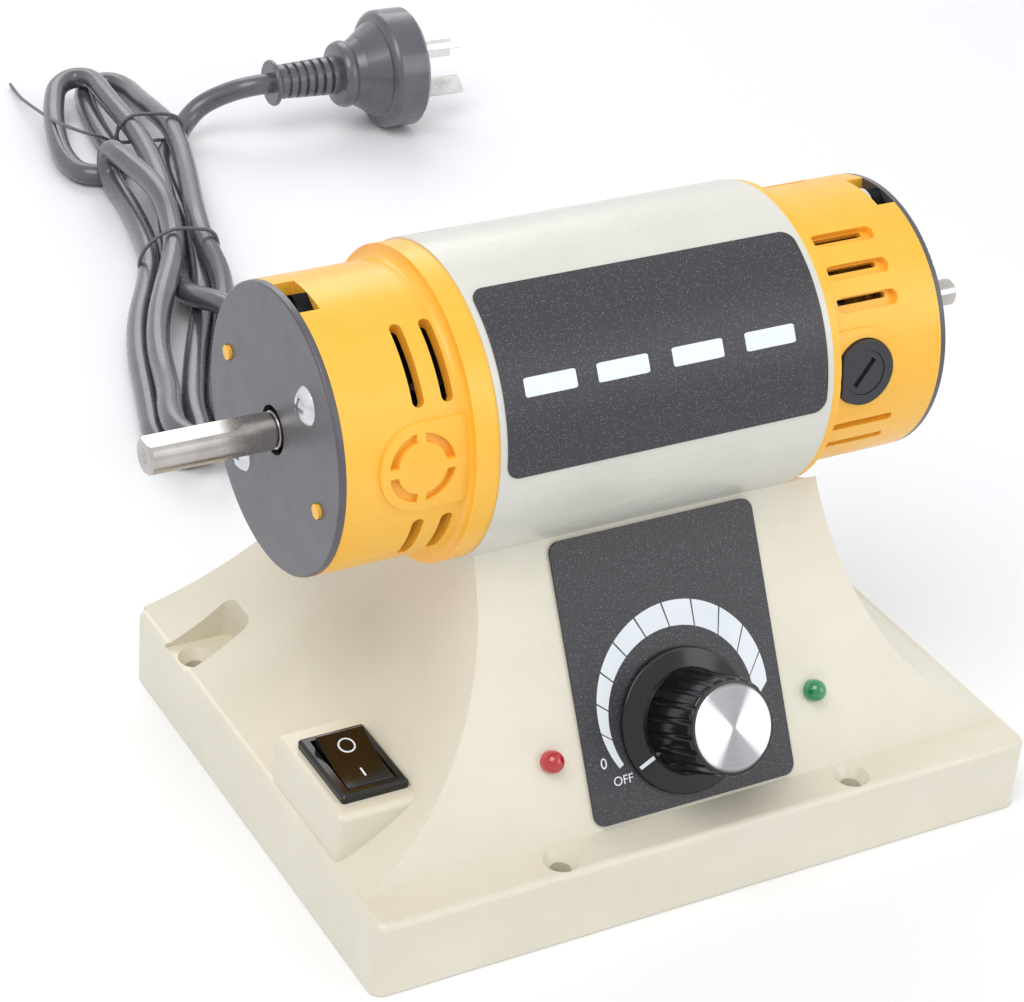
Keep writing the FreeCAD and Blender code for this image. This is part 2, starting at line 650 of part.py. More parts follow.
def switch_terminals():
    """Blade terminals under the switch."""
    blades = []
    for dy in (-5.0, 0.0, 5.0):
        blades.append(centred_box(V(SWITCH_X, SWITCH_Y + dy, BOSS_TOP - 19.5), V(4.8, 0.8, 7)))
    return Part.makeCompound(blades)


def control_board():
    """Circuit board of the speed control, on four pillars."""
    board = box(-5, 55, 0, 42, 8.0, 9.6)
    pillars = [post_z(2.4, x, y, COVER_THICKNESS, 8.0) for x in (0, 50) for y in (5, 37)]
    screws = [post_z(1.2, x, y, 9.6, 11) for x in (0, 50) for y in (5, 37)]
    return join([board] + pillars + screws)


def triac_heatsink():
    """Finned heat sink of the speed control's triac."""
    foot = box(6, 34, 30, 32.5, 9.6, 30)
    fins = [box(6 + 5.1 * i, 8.6 + 5.1 * i, 32.5, 38, 9.6, 30) for i in range(6)]
    return join([foot] + fins)


def suppression_capacitor():
    """Interference capacitor, a rounded block on the board."""
    return rounded_plate(12, 30, 8, 16, 9.6, 22, 1.5)


def motor_tube():
    """Painted steel tube round the stator."""
    tube = ring_x(TUBE_RADIUS, TUBE_RADIUS - TUBE_WALL, TUBE_LEFT, TUBE_RIGHT)
    return cut_all(tube, [post_z(BOLT_RADIUS, x, 0, 60, 75) for x in SADDLE_SCREW_X])


def motor_label():
    """Thin label wrapped on the tube's upper front."""
    skin = 0.25
    label = sector(TUBE_RADIUS + skin, TUBE_RADIUS, 33.3, 34.5, -43.7, 32.4)
    radial = [e for e in label.Edges if abs(e.Length - skin) < 0.01]
    return label.makeFillet(3.0, radial)


def end_profile(face, tube_end, bearing, lip, collar):
    """Outline (x, radius) of a moulded end housing, from its hub to the spigot in the tube."""
    way = 1 if face < tube_end else -1
    inside = face + way * DISC_THICKNESS
    near, far, _, seat = bearing
    outer_end, inner_end = (near, far) if way > 0 else (far, near)
    hub_end = inner_end + way * 0.6
    bore = SHELL_RADIUS - SHELL_WALL
    spigot = TUBE_RADIUS - TUBE_WALL
    edge = tube_end - way * collar
    start = edge - way * 2.0
    quarter = 2.0 * math.sqrt(0.5)
    return [
        (inside, lip), (inside, SHELL_RADIUS), (start, SHELL_RADIUS),
        ((start + way * quarter, SHELL_RADIUS + 2.0 - quarter), (edge, SHELL_RADIUS + 2.0)),
        (edge, COLLAR_RADIUS), (tube_end, COLLAR_RADIUS), (tube_end, spigot),
        (tube_end + way * 5, spigot), (tube_end + way * 5, spigot - 2.4),
        (tube_end - way * 2, spigot - 2.4), (tube_end - way * 4, bore),
        (inside + way * 3.2, bore), (inside + way * 3.2, seat + 3.2), (hub_end, seat + 3.2),
        (hub_end, seat), (outer_end, seat), (outer_end, lip)]


def arc_slot(x, width, low, high):
    """Cutter for a slot that runs round the shell, with round ends."""
    middle = (low + high) / 2
    half_span = (high - low) / 2
    outer = SHELL_RADIUS + 4
    inner = SHELL_RADIUS - VENT_DEPTH
    cutter = sector(outer, inner, middle, half_span, x - width / 2, x + width / 2)
    end = Part.makeCylinder(width / 2, VENT_DEPTH + 4, V(x, 0, AXIS_Z + inner), Z_AXIS)
    return cutter.multiFuse([at_angle(end, low), at_angle(end, high)])


def long_slot(x0, x1, width, angle, floor):
    """Cutter for a slot along the shell, with round ends, down to a floor radius."""
    cutter = rounded_plate(x0, x1, -width / 2, width / 2, AXIS_Z + floor, AXIS_Z + 40, width * 0.45)
    return at_angle(cutter, angle)


def raised_tab(x, angle, radius, edge):
    """D-shaped raised field on the shell, round a brush seat or a ring vent."""
    low, high = sorted((x, edge))
    body = Part.makeCylinder(radius, 14, V(x, 0, AXIS_Z + 24), Z_AXIS)
    body = body.fuse(box(low, high, -radius, radius, AXIS_Z + 24, AXIS_Z + 38))
    skin = ring_x(SHELL_RADIUS + TAB_HEIGHT, SHELL_RADIUS - 1, low - 20, high + 20)
    return at_angle(body.common(skin), angle)


def nut_notch(face, way):
    """Cutters at top and bottom of the shell's end that show the tie bolts."""
    low, high = sorted((face, face + way * (DISC_THICKNESS + NOTCH_LENGTH)))
    return [sector(SHELL_RADIUS + 3, BOLT_CIRCLE - LUG_REACH, a, LUG_SPAN, low, high) for a in BOLT_ANGLES]


def end_housing(shell, face, way):
    """Adds bolt lugs and screw bosses to a shell and cuts its notches and holes."""
    inside = face + way * DISC_THICKNESS
    low, high = sorted((inside + way * 2, inside + way * 11))
    lugs = [
        sector(SHELL_RADIUS - 1, BOLT_CIRCLE - LUG_REACH, a, LUG_SPAN + 0.5, low, high)
        for a in BOLT_ANGLES
    ]
    low, high = sorted((inside + way * 2, inside + way * 9))
    bosses = [rod_at(4.4, SCREW_CIRCLE, a, low, high) for a in SCREW_ANGLES]
    body = join([shell] + lugs + bosses)
    tools = nut_notch(face, way)
    low, high = sorted((inside - way, inside + way * 9))
    tools += [rod_at(BOLT_RADIUS, SCREW_CIRCLE, a, low, high) for a in SCREW_ANGLES]
    low, high = sorted((inside - way, inside + way * BOLT_CHANNEL))
    tools += [rod_at(BOLT_RADIUS, BOLT_CIRCLE, a, low, high) for a in BOLT_ANGLES]
    return cut_all(body, tools)


def left_housing():
    """Moulded end with fan vents, ring vents and the pegs that pass the disc."""
    shell = spun(end_profile(LEFT_FACE, TUBE_LEFT, LEFT_BEARING, 8.6, 5.3))
    tabs = [raised_tab(TAB_X, a, TAB_RADIUS, TUBE_LEFT - 4.0) for a in TAB_ANGLES]
    pegs = [rod_at(PEG_RADIUS, PEG_CIRCLE, a, LEFT_FACE - 0.7, LEFT_FACE + 3) for a in PEG_ANGLES]
    body = end_housing(join([shell] + tabs + pegs), LEFT_FACE, 1)
    tools = []
    for low, high in ARC_SLOT_SPANS:
        for x in ARC_SLOT_X:
            tools.append(arc_slot(x, ARC_SLOT_WIDTH, low, high))
            tools.append(arc_slot(x, ARC_SLOT_WIDTH, 180 - high, 180 - low))
    ring_cut = Part.makeCylinder(RING_OUTER, 6, V(TAB_X, 0, AXIS_Z + SHELL_RADIUS - 0.9), Z_AXIS)
    ring_cut = ring_cut.cut(Part.makeCylinder(RING_INNER, 8, V(TAB_X, 0, AXIS_Z + 28), Z_AXIS))
    for size in (V(20, RING_BRIDGE, 30), V(RING_BRIDGE, 20, 30)):
        ring_cut = ring_cut.cut(centred_box(V(TAB_X, 0, AXIS_Z + 32), size))
    tools += [at_angle(ring_cut, a) for a in TAB_ANGLES]
    return cut_all(body, tools).removeSplitter()


def right_housing():
    """Moulded end with stepped vents and the seats of the two brush holders."""
    shell = spun(end_profile(RIGHT_FACE, TUBE_RIGHT, RIGHT_BEARING, 7.2, 2.2))
    tabs = [raised_tab(COMMUTATOR_X, a, BRUSH_TAB_RADIUS, TUBE_RIGHT + 2.0) for a in BRUSH_ANGLES]
    seats = []
    for a in BRUSH_ANGLES:
        seat = Part.makeCylinder(HOLDER_RADIUS + 1.8, 12, V(COMMUTATOR_X, 0, AXIS_Z + 17), Z_AXIS)
        seats.append(at_angle(seat, a))
    pegs = [rod_at(PEG_RADIUS, PEG_CIRCLE, a, RIGHT_FACE - 3, RIGHT_FACE + 0.7) for a in PEG_ANGLES]
    body = end_housing(join([shell] + tabs + seats + pegs), RIGHT_FACE, -1)
    tools = []
    for a in SLOT_ANGLES:
        width = 3.4 if a > 0 else 2.0
        for angle in (a, 180 - a):
            rise = 0.9 if angle < 90 else -0.9
            tools.append(long_slot(38.9, 54.2, width, angle, SHELL_RADIUS - 1.7))
            shift = math.degrees(rise / SHELL_RADIUS) if a > 0 else 0
            tools.append(long_slot(38.9, 52.2, 1.3, angle + shift, SHELL_RADIUS - VENT_DEPTH))
    for a in BRUSH_ANGLES:
        bore = Part.makeCylinder(HOLDER_RADIUS, 30, V(COMMUTATOR_X, 0, AXIS_Z + 14), Z_AXIS)
        seat = Part.makeCylinder(CAP_FLANGE + 0.2, 10, V(COMMUTATOR_X, 0, AXIS_Z + CAP_SEAT), Z_AXIS)
        tools += [at_angle(bore, a), at_angle(seat, a)]
    return cut_all(body, tools).removeSplitter()


def end_disc(face, way, bore):
    """Black disc on the end of a housing."""
    low, high = sorted((face, face + way * DISC_THICKNESS))
    disc = rod_x(DISC_RADIUS, low, high)
    outer = [e for e in disc.Edges if abs(e.BoundBox.XMin - face) < 0.01 and e.Length > 100]
    disc = disc.makeFillet(0.5, outer)
    tools = [rod_x(bore, low - 1, high + 1)]
    tools += [rod_at(PEG_RADIUS + 0.2, PEG_CIRCLE, a, low - 1, high + 1) for a in PEG_ANGLES]
    tools += [rod_at(BOLT_RADIUS, SCREW_CIRCLE, a, low - 1, high + 1) for a in SCREW_ANGLES]
    return cut_all(disc, tools)


def disc_screws(face, way):
    """Two domed screws with a cross slot that hold a disc."""
    screws = []
    for angle in SCREW_ANGLES:
        y, z = spot(SCREW_CIRCLE, angle)
        radius, height = DOME_RADIUS, DOME_HEIGHT
        dome = Part.makeSphere(radius, V(face + way * (radius - height), y, z))
        low, high = sorted((face, face - way * height))
        head = dome.common(Part.makeBox(high - low, 20, 20, V(low, y - 10, z - 10)))
        low, high = sorted((face, face + way * SCREW_LENGTH))
        shank = Part.makeCylinder(BOLT_RADIUS, high - low, V(low, y, z), X_AXIS)
        low, high = sorted((face - way * height, face - way * (height - 1.0)))
        middle = V((low + high) / 2, y, z)
        cross = centred_box(middle, V(1.0, 4.2, 0.9)).fuse(centred_box(middle, V(1.0, 0.9, 4.2)))
        screws.append(head.fuse(shank).removeSplitter().cut(cross))
    return Part.makeCompound(screws)


def tie_bolts():
    """Long bolts through both housings, their heads at the right end."""
    head_end = RIGHT_FACE - DISC_THICKNESS - 0.4
    bolts = []
    for angle in BOLT_ANGLES:
        head = hexagon_at(NUT_ACROSS, BOLT_CIRCLE, angle, head_end - BOLT_HEAD, head_end)
        left = LEFT_FACE + DISC_THICKNESS + 0.2
        shank = rod_at(BOLT_RADIUS, BOLT_CIRCLE, angle, left, head_end - BOLT_HEAD)
        bolts.append(head.fuse(shank).removeSplitter())
    return Part.makeCompound(bolts)


def tie_washers():
    """Plain washers under the heads of the tie bolts."""
    seat = RIGHT_FACE - DISC_THICKNESS - NOTCH_LENGTH
    washers = []
    for angle in BOLT_ANGLES:
        plate = rod_at(4.0, BOLT_CIRCLE, angle, seat, seat + 1.0)
        washers.append(plate.cut(rod_at(BOLT_RADIUS, BOLT_CIRCLE, angle, seat - 1, seat + 2)))
    return Part.makeCompound(washers)


def tie_nuts():
    """Nuts on the left ends of the tie bolts."""
    seat = LEFT_FACE + DISC_THICKNESS + NOTCH_LENGTH
    nuts = []
    for angle in BOLT_ANGLES:
        nut = hexagon_at(NUT_ACROSS, BOLT_CIRCLE, angle, seat - NUT_HEIGHT, seat)
        nuts.append(nut.cut(rod_at(BOLT_RADIUS, BOLT_CIRCLE, angle, seat - 5, seat + 1)))
    return Part.makeCompound(nuts)


def stator_core():
    """Two-pole laminated core with windows for the field coils."""
    outer = TUBE_RADIUS - TUBE_WALL
    core = ring_x(outer, ARMATURE_RADIUS + AIR_GAP, CORE_LEFT, CORE_RIGHT)
    windows = [sector(COIL_OUTER + 0.3, ARMATURE_RADIUS - 1, a, 42, CORE_LEFT - 1, CORE_RIGHT + 1)
               for a in (90, 270)]
    holes = [rod_at(BOLT_RADIUS, BOLT_CIRCLE, a, CORE_LEFT - 1, CORE_RIGHT + 1) for a in BOLT_ANGLES]
    return cut_all(core, windows + holes)


def field_coils():
    """One coil round each pole, its end turns outside the core."""
    coils = []
    for angle in (0, 180):
        block = sector(COIL_OUTER, COIL_INNER, angle, 72, CORE_LEFT - COIL_OVERHANG,
                       CORE_RIGHT + COIL_OVERHANG)
        pole = sector(COIL_OUTER + 2, COIL_INNER - 2, angle, 50, CORE_LEFT - 0.4, CORE_RIGHT + 0.4)
        coils.append(block.cut(pole))
    return Part.makeCompound(coils)


def spindle():
    """One shaft: main end with a driving flat on the left, plain thin end on the right."""
    neck = 0.35
    main = MAIN_SHAFT_RADIUS
    rear = REAR_SHAFT_RADIUS
    bevel = 0.5
    body = spun([
        (LEFT_TIP, 0), (LEFT_TIP, main - bevel), (LEFT_TIP + bevel, main),
        (LEFT_FACE - 1.0, main), (LEFT_FACE - 1.0, main - neck), (LEFT_FACE, main - neck),
        (LEFT_FACE, main), (LEFT_BEARING[1], main), (LEFT_BEARING[1], CORE_SHAFT_RADIUS),
        (RIGHT_BEARING[0], CORE_SHAFT_RADIUS), (RIGHT_BEARING[0], rear),
        (RIGHT_FACE, rear), (RIGHT_FACE, rear - neck), (RIGHT_FACE + 1.0, rear - neck),
        (RIGHT_FACE + 1.0, rear), (RIGHT_TIP - bevel, rear), (RIGHT_TIP, rear - bevel), (RIGHT_TIP, 0)])
    body = at_angle(body, 90 - SEAM_TURN)
    flat = box(LEFT_TIP - 1, FLAT_END, -10, 10, AXIS_Z + main - FLAT_DEPTH, AXIS_Z + 10)
    centre = Part.makeCone(1.6, 0.0, 2.0, V(LEFT_TIP, 0, AXIS_Z), X_AXIS)
    return body.cut(flat).cut(centre)


def armature_core():
    """Slotted laminated core of the armature."""
    core = ring_x(ARMATURE_RADIUS, CORE_SHAFT_RADIUS, CORE_LEFT, CORE_RIGHT)
    return cut_all(core, slot_fills(0, CORE_LEFT - 1, CORE_RIGHT + 1))


def slot_fills(gap, x0, x1):
    """Bars along the armature's slots, each smaller than its slot by a gap."""
    bars = []
    for i in range(ARMATURE_SLOTS):
        angle = 360.0 * i / ARMATURE_SLOTS
        bars.append(at_angle(box(x0, x1, -1.7 + gap, 1.7 - gap, AXIS_Z + 9 + gap,
                                 AXIS_Z + ARMATURE_RADIUS - 1.2 - gap), angle))
        if gap == 0:
            bars.append(at_angle(box(x0, x1, -0.8, 0.8, AXIS_Z + 10, AXIS_Z + 20), angle))
    return bars


def armature_winding():
    """Coil bars in the slots joined by rounded end turns."""
    reach = 5.0
    ends = []
    for edge, way in ((CORE_LEFT, -1), (CORE_RIGHT, 1)):
        out = edge + way * reach
        ends.append(spun([
            (edge, CORE_SHAFT_RADIUS + 0.6), (edge, 15.2), (edge + way * 2, 15.2),
            ((out - way * 0.9, 14.0), (out, 11.5)), (out, CORE_SHAFT_RADIUS + 0.6)]))
    return join(ends + slot_fills(0.15, CORE_LEFT, CORE_RIGHT))


def commutator():
    """Copper segments on the shaft, with the riser at the winding's side."""
    low = COMMUTATOR_X - 6
    high = COMMUTATOR_X + 5.5
    body = spun([
        (low - 3, CORE_SHAFT_RADIUS), (low - 3, COMMUTATOR_RADIUS + 1.2),
        (low, COMMUTATOR_RADIUS + 1.2), (low, COMMUTATOR_RADIUS), (high, COMMUTATOR_RADIUS),
        (high, CORE_SHAFT_RADIUS)])
    grooves = [at_angle(box(low - 4, high + 1, -0.25, 0.25, AXIS_Z + COMMUTATOR_RADIUS - 0.6,
                            AXIS_Z + 20), 360.0 * i / 24) for i in range(24)]
    return cut_all(body, grooves)


def cooling_fan():
    """Radial fan behind the left vents: hub, back plate and straight blades."""
    plate = ring_x(FAN_RADIUS, CORE_SHAFT_RADIUS, -50.5, -49.0)
    hub = ring_x(9.0, CORE_SHAFT_RADIUS, -63.0, -49.0)
    blades = []
    for i in range(FAN_BLADES):
        wing = box(-61.5, -50.0, -0.7, 0.7, AXIS_Z + 8.0, AXIS_Z + FAN_RADIUS - 0.3)
        blades.append(at_angle(wing, 360.0 * i / FAN_BLADES))
    return join([plate, hub] + blades)


def bearing_outer(seat):
    """Outer ring with its shields, held by the housing."""
    near, far, bore, rim = seat
    return ring_x(rim, bore + 2.4, near, far)


def bearing_inner(seat):
    """Inner ring, pressed on the shaft."""
    near, far, bore, _ = seat
    return ring_x(bore + 2.1, bore, near, far)


def brush_parts(build):
    """The same part for the front and rear brush."""
    return Part.makeCompound([at_angle(build(), a) for a in BRUSH_ANGLES])


def brush_holder():
    """Flanged holder tube that guides one brush."""
    body = Part.makeCylinder(HOLDER_RADIUS, CAP_SEAT - 13.5, V(COMMUTATOR_X, 0, AXIS_Z + 13.5), Z_AXIS)
    flange = Part.makeCylinder(CAP_FLANGE, CAP_TOP - CAP_SEAT, V(COMMUTATOR_X, 0, AXIS_Z + CAP_SEAT), Z_AXIS)
    side = box(COMMUTATOR_X - 12, COMMUTATOR_X - 5.6, -10, 10, AXIS_Z + CAP_SEAT, AXIS_Z + 40)
    flange = flange.cut(side)
    guide = centred_box(V(COMMUTATOR_X, 0, AXIS_Z + 20), V(8.2, 5.2, 40))
    recess = Part.makeCylinder(CAP_INNER + 0.1, 10, V(COMMUTATOR_X, 0, AXIS_Z + CAP_SEAT - 1.6), Z_AXIS)
    return body.fuse(flange).removeSplitter().cut(guide).cut(recess)


def brush_cap():
    """Slotted screw cap that closes a brush holder."""
    seat = CAP_SEAT - 1.6
    cap = Part.makeCylinder(CAP_INNER, CAP_TOP - 0.2 - seat, V(COMMUTATOR_X, 0, AXIS_Z + seat), Z_AXIS)
    slot = centred_box(V(COMMUTATOR_X, 0, AXIS_Z + CAP_TOP), V(1.3, 7.2, 2.0))
    slot.rotate(V(COMMUTATOR_X, 0, AXIS_Z), Z_AXIS, -40)
    return cap.cut(slot)


def brush():
    """Carbon block that rides on the commutator."""
    block = centred_box(V(COMMUTATOR_X, 0, AXIS_Z + 15.5), V(8.0, 5.0, 13))
    return block.cut(rod_x(BRUSH_TIP, COMMUTATOR_X - 10, COMMUTATOR_X + 10))


def brush_spring():
    """Spring that presses the brush, as the sleeve that its turns fill."""
    body = Part.makeCylinder(2.2, CAP_SEAT - 1.6 - 22, V(COMMUTATOR_X, 0, AXIS_Z + 22), Z_AXIS)
    core = Part.makeCylinder(1.5, 12, V(COMMUTATOR_X, 0, AXIS_Z + 21), Z_AXIS)
    return body.cut(core)


def hank_point(along, across, height):
    """A point of the hank, from its own line, at a height over the bench."""
    turn = math.radians(HANK_HEADING)
    return V(HANK_X + along * math.cos(turn) + across * math.sin(turn),
             HANK_Y + along * math.sin(turn) - across * math.cos(turn), height)


def layer_height(layer, tied):
    """Height of a strand's centre: the ties run under the lowest layer."""
    return CORD_RADIUS + layer * LAYER_PITCH + (TIE_LIFT if tied else 0)


def hank_route():
    """Points of the hank, worked out eye by eye."""
    points = list(HANK_START)
    tied = [True] * len(points)
    for end, first, second, layer, way_out in HANK_EYES:
        inside = end - math.copysign(EYE_STRAIGHT, end)
        points += [(inside, first, layer), (end, first, layer), (end, second, layer)]
        points.append((inside, second, layer))
        tied += [False] * 4
        points += way_out
        tied += [True] * len(way_out)
    points.append(HANK_END)
    tied.append(True)
    return [hank_point(a, b, layer_height(layer, up)) for (a, b, layer), up in zip(points, tied)]


def beyond(first, last, distance):
    """A point on the line through two others, past the last."""
    return last + (last - first).normalize() * distance


def gland_tip():
    """Outer end of the strain relief, and its direction."""
    lean = math.radians(REAR_LEAN)
    way = V(0, math.cos(lean), math.sin(lean))
    root = V(GLAND_X, BASE_DEPTH / 2 - (GLAND_Z - RIM_HEIGHT) * math.tan(lean), GLAND_Z)
    return root + way * GLAND_LENGTH, way


def plug_axis():
    """Direction from the cord into the plug, which lies on its rim."""
    turn = math.radians(PLUG_HEADING)
    return V(math.cos(turn), math.sin(turn), 0)


def lead_route():
    """From the strain relief down to the bench and on to the hank."""
    tip, way = gland_tip()
    hank = hank_route()
    turns = [V(*place) for place in LEAD_TURNS]
    return [tip, tip + way * LEAD_RUN] + turns + [beyond(hank[1], hank[0], HANK_RUN), hank[0]]


def tail_route():
    """From the hank round to the plug."""
    hank = hank_route()
    tip = V(*PLUG_TIP)
    turns = [hank_point(*place) for place in TAIL_TURNS]
    return [hank[-1], beyond(hank[-2], hank[-1], TAIL_RUN)] + turns + [tip - plug_axis() * PLUG_RUN, tip]


def rounded_path(points, name, share=0.45):
    """Straight runs joined by tangent arcs, each as large as its runs allow."""
    edges = []
    radii = []
    last = points[0]
    for i in range(1, len(points) - 1):
        corner = points[i]
        back = (points[i - 1] - corner).normalize()
        ahead = (points[i + 1] - corner).normalize()
        run = min(corner.distanceToPoint(points[i - 1]), corner.distanceToPoint(points[i + 1]))
        half_turn = (math.pi - back.getAngle(ahead)) / 2
        reach = share * run
        radius = reach / math.tan(half_turn)
        radii.append(radius)
        start = corner + back * reach
        end = corner + ahead * reach
        inward = (back + ahead).normalize()
        middle = corner + inward * (radius / math.cos(half_turn) - radius)
        edges.append(Part.LineSegment(last, start).toShape())
        edges.append(Part.Arc(start, middle, end).toShape())
        last = end
    edges.append(Part.LineSegment(last, points[-1]).toShape())
    print(name, "radii", [round(r, 1) for r in radii])
    return Part.Wire(edges)


def tube_along(path, radius, name):
    """A round tube along a path, with its volume compared with section times length."""
    first = path.Edges[0]
    start = first.valueAt(first.FirstParameter)
    way = first.tangentAt(first.FirstParameter)
    ring = Part.Wire([Part.Circle(start, way, radius).toShape()])
    tube = path.makePipeShell([ring], True, False)
    expected = math.pi * radius ** 2 * path.Length
    print(name, "length", round(path.Length, 1), "volume ratio", round(tube.Volume / expected, 4))
    return tube


def least_gap(path, radius, name):
    """Print the least gap between stretches of a tube that are apart along it."""
    count = int(path.Length / 1.5)
    points = path.discretize(count)
    step = path.Length / (count - 1)
    skip = int(math.pi * 2.2 * radius / step) + 1
    least = 1000.0
    for i in range(count):
        for j in range(i + skip, count):
            least = min(least, points[i].distanceToPoint(points[j]))
    print(name, "least gap to itself", round(least - 2 * radius, 2))


def cord_lead():
    """Free stretch from the strain relief to the hank."""
    return tube_along(rounded_path(lead_route(), "lead"), CORD_RADIUS, "lead")


def cord_hank():
    """The hank's wound cord: two rounds, each with a far and a near eye."""
    path = rounded_path(hank_route(), "hank")
    least_gap(path, CORD_RADIUS, "hank")
    return tube_along(path, CORD_RADIUS, "hank")


def cord_tail():
    """Free stretch from the hank to the plug."""
    return tube_along(rounded_path(tail_route(), "tail"), CORD_RADIUS, "tail")


def tie_ring(along, left, right, top):
    """A wire bent round the hank, square to its line."""
    low = TIE_WIRE
    corners = [(left, low), (right, low), (right, top), (left, top)]
    points = [hank_point(along, b, z) for b, z in corners]
    middle = (points[0] + points[1]) * 0.5
    path = rounded_path([middle, points[1], points[2], points[3], points[0], middle], "tie", TIE_CORNER)
    return tube_along(path, TIE_WIRE, "tie")


def cord_ties():
    """Two wire ties, the far one with a long free end."""
    return Part.makeCompound([tie_ring(*NEAR_TIE), tie_ring(*FAR_TIE)])


def cord_gland():
    """Tapered strain relief with ribs, clamped in the rear wall."""
    neck = Part.makeCylinder(GLAND_HOLE - 0.1, WALL + 4, V(0, 0, -WALL - 4), Z_AXIS)
    nut = Part.makeCylinder(GLAND_NUT, 3, V(0, 0, -WALL - 3), Z_AXIS)
    flange = Part.makeCylinder(GLAND_FLANGE, BOOT_START, V(0, 0, 0), Z_AXIS)
    length = GLAND_LENGTH - BOOT_START
    boot = Part.makeCone(BOOT_ROOT, BOOT_TIP, length, V(0, 0, BOOT_START), Z_AXIS)
    grooves = []
    for i in range(5):
        height = 7.0 + 3.6 * i
        outer = Part.makeCylinder(9, 1.3, V(0, 0, height), Z_AXIS)
        grooves.append(outer.cut(Part.makeCylinder(4.0, 1.3, V(0, 0, height), Z_AXIS)))
    return on_rear(cut_all(join([neck, nut, flange, boot]), grooves), GLAND_X, GLAND_Z)


def on_plug(shape):
    """Move a shape that points along +Z onto the plug's axis, from its cord end."""
    placed = shape.copy()
    turn = FreeCAD.Rotation(Z_AXIS, PLUG_HEADING).multiply(FreeCAD.Rotation(Y_AXIS, 90))
    placed.Placement = FreeCAD.Placement(V(*PLUG_TIP), turn).multiply(shape.Placement)
    return placed


def plug_body():
    """Moulded plug: flared and ribbed relief, hub, cone and thick round rim."""
    relief = PLUG_RELIEF
    length = PLUG_RELIEF + PLUG_BODY
    rim = length - 11.0
    outline = [V(0, 0, 0), V(6.9, 0, 0), (V(7.3, 0, 0.9), V(6.6, 0, 1.8)), V(5.4, 0, 2.8),
               V(6.2, 0, relief), V(9.6, 0, relief + 0.5),
               (V(10.6, 0, relief + 2.8), V(9.8, 0, relief + 5.0)),
               V(11.2, 0, relief + 7.5), V(15.6, 0, rim - 1.2),
               (V(17.9, 0, rim - 0.6), V(PLUG_RADIUS, 0, rim + 1.2)),
               V(PLUG_RADIUS, 0, length - 1.2), V(PLUG_RADIUS - 1.2, 0, length), V(0, 0, length)]
    body = face_of(outline).revolve(V(0, 0, 0), Z_AXIS, 360)
    grooves = []
    for i in range(6):
        height = 4.4 + 2.9 * i
        outer = Part.makeCylinder(9, 1.2, V(0, 0, height), Z_AXIS)
        grooves.append(outer.cut(Part.makeCylinder(4.6, 1.2, V(0, 0, height), Z_AXIS)))
    return on_plug(cut_all(body, grooves))


def plug_blades():
    """Two flat contacts set in a V and the longer earth contact."""
    face = PLUG_RELIEF + PLUG_BODY
    blades = []
    for angle, circle, length, twist in PLUG_BLADES:
        blade = centred_box(V(0, 0, length / 2), V(BLADE_THICKNESS, BLADE_WIDTH, length))
        blade.rotate(V(0, 0, 0), Z_AXIS, twist)
        turn = math.radians(angle)
        blade.translate(V(circle * math.sin(turn), -circle * math.cos(turn), face))
        blades.append(on_plug(blade))
    return Part.makeCompound(blades)


def build_all():
    """Every node's name and shape."""
    return {
        "base_casting": base_casting(),
        "bottom_cover": bottom_cover(),
        "cover_screws": cover_screws(),
        "saddle_screws": saddle_screws(),
        "saddle_nuts": saddle_nuts(),
        "dial_plate": dial_plate(),
        "led_red": led(-1),
        "led_green": led(1),
        "pot_body": pot_body(),
        "pot_nut": pot_nut(),
        "pot_shaft": pot_shaft(),
        "knob_body": knob_body(),
        "knob_cap": knob_cap(),
        "switch_housing": switch_housing(),
        "switch_rocker": switch_rocker(),
        "switch_terminals": switch_terminals(),
        "control_board": control_board(),
        "triac_heatsink": triac_heatsink(),
        "suppression_capacitor": suppression_capacitor(),
        "motor_tube": motor_tube(),
        "motor_label": motor_label(),
        "left_housing": left_housing(),
        "right_housing": right_housing(),
        "left_disc": end_disc(LEFT_FACE, 1, 5.2),
        "right_disc": end_disc(RIGHT_FACE, -1, 4.4),
        "left_disc_screws": disc_screws(LEFT_FACE, 1),
        "right_disc_screws": disc_screws(RIGHT_FACE, -1),
        "tie_bolts": tie_bolts(),
        "tie_washers": tie_washers(),
        "tie_nuts": tie_nuts(),
        "stator_core": stator_core(),
        "field_coils": field_coils(),
        "spindle": spindle(),
        "armature_core": armature_core(),
        "armature_winding": armature_winding(),
        "commutator": commutator(),
        "cooling_fan": cooling_fan(),
        "left_bearing_outer": bearing_outer(LEFT_BEARING),
        "left_bearing_inner": bearing_inner(LEFT_BEARING),
        "right_bearing_outer": bearing_outer(RIGHT_BEARING),
        "right_bearing_inner": bearing_inner(RIGHT_BEARING),
        "brush_holders": brush_parts(brush_holder),
        "brush_caps": brush_parts(brush_cap),
        "brushes": brush_parts(brush),
        "brush_springs": brush_parts(brush_spring),
        "cord_gland": cord_gland(),
        "cord_lead": cord_lead(),
        "cord_hank": cord_hank(),
        "cord_tail": cord_tail(),
        "cord_ties": cord_ties(),
        "plug_body": plug_body(),
        "plug_blades": plug_blades(),
    }


def main():
    """Write one STEP file for each node."""
    os.makedirs("parts", exist_ok=True)
    for name, shape in build_all().items():
        print(name, len(shape.Solids), "valid" if shape.isValid() else "INVALID", round(shape.Volume, 1))
        shape.exportStep(os.path.join("parts", name + ".step"))


main()
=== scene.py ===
"""Dental polishing lathe: finishes, printed marks, mains lead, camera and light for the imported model."""
import logging
import math
from dataclasses import dataclass, field
from enum import Enum
from typing import Any, Optional, Sequence

import bmesh
import bpy
from mathutils import Matrix, Vector


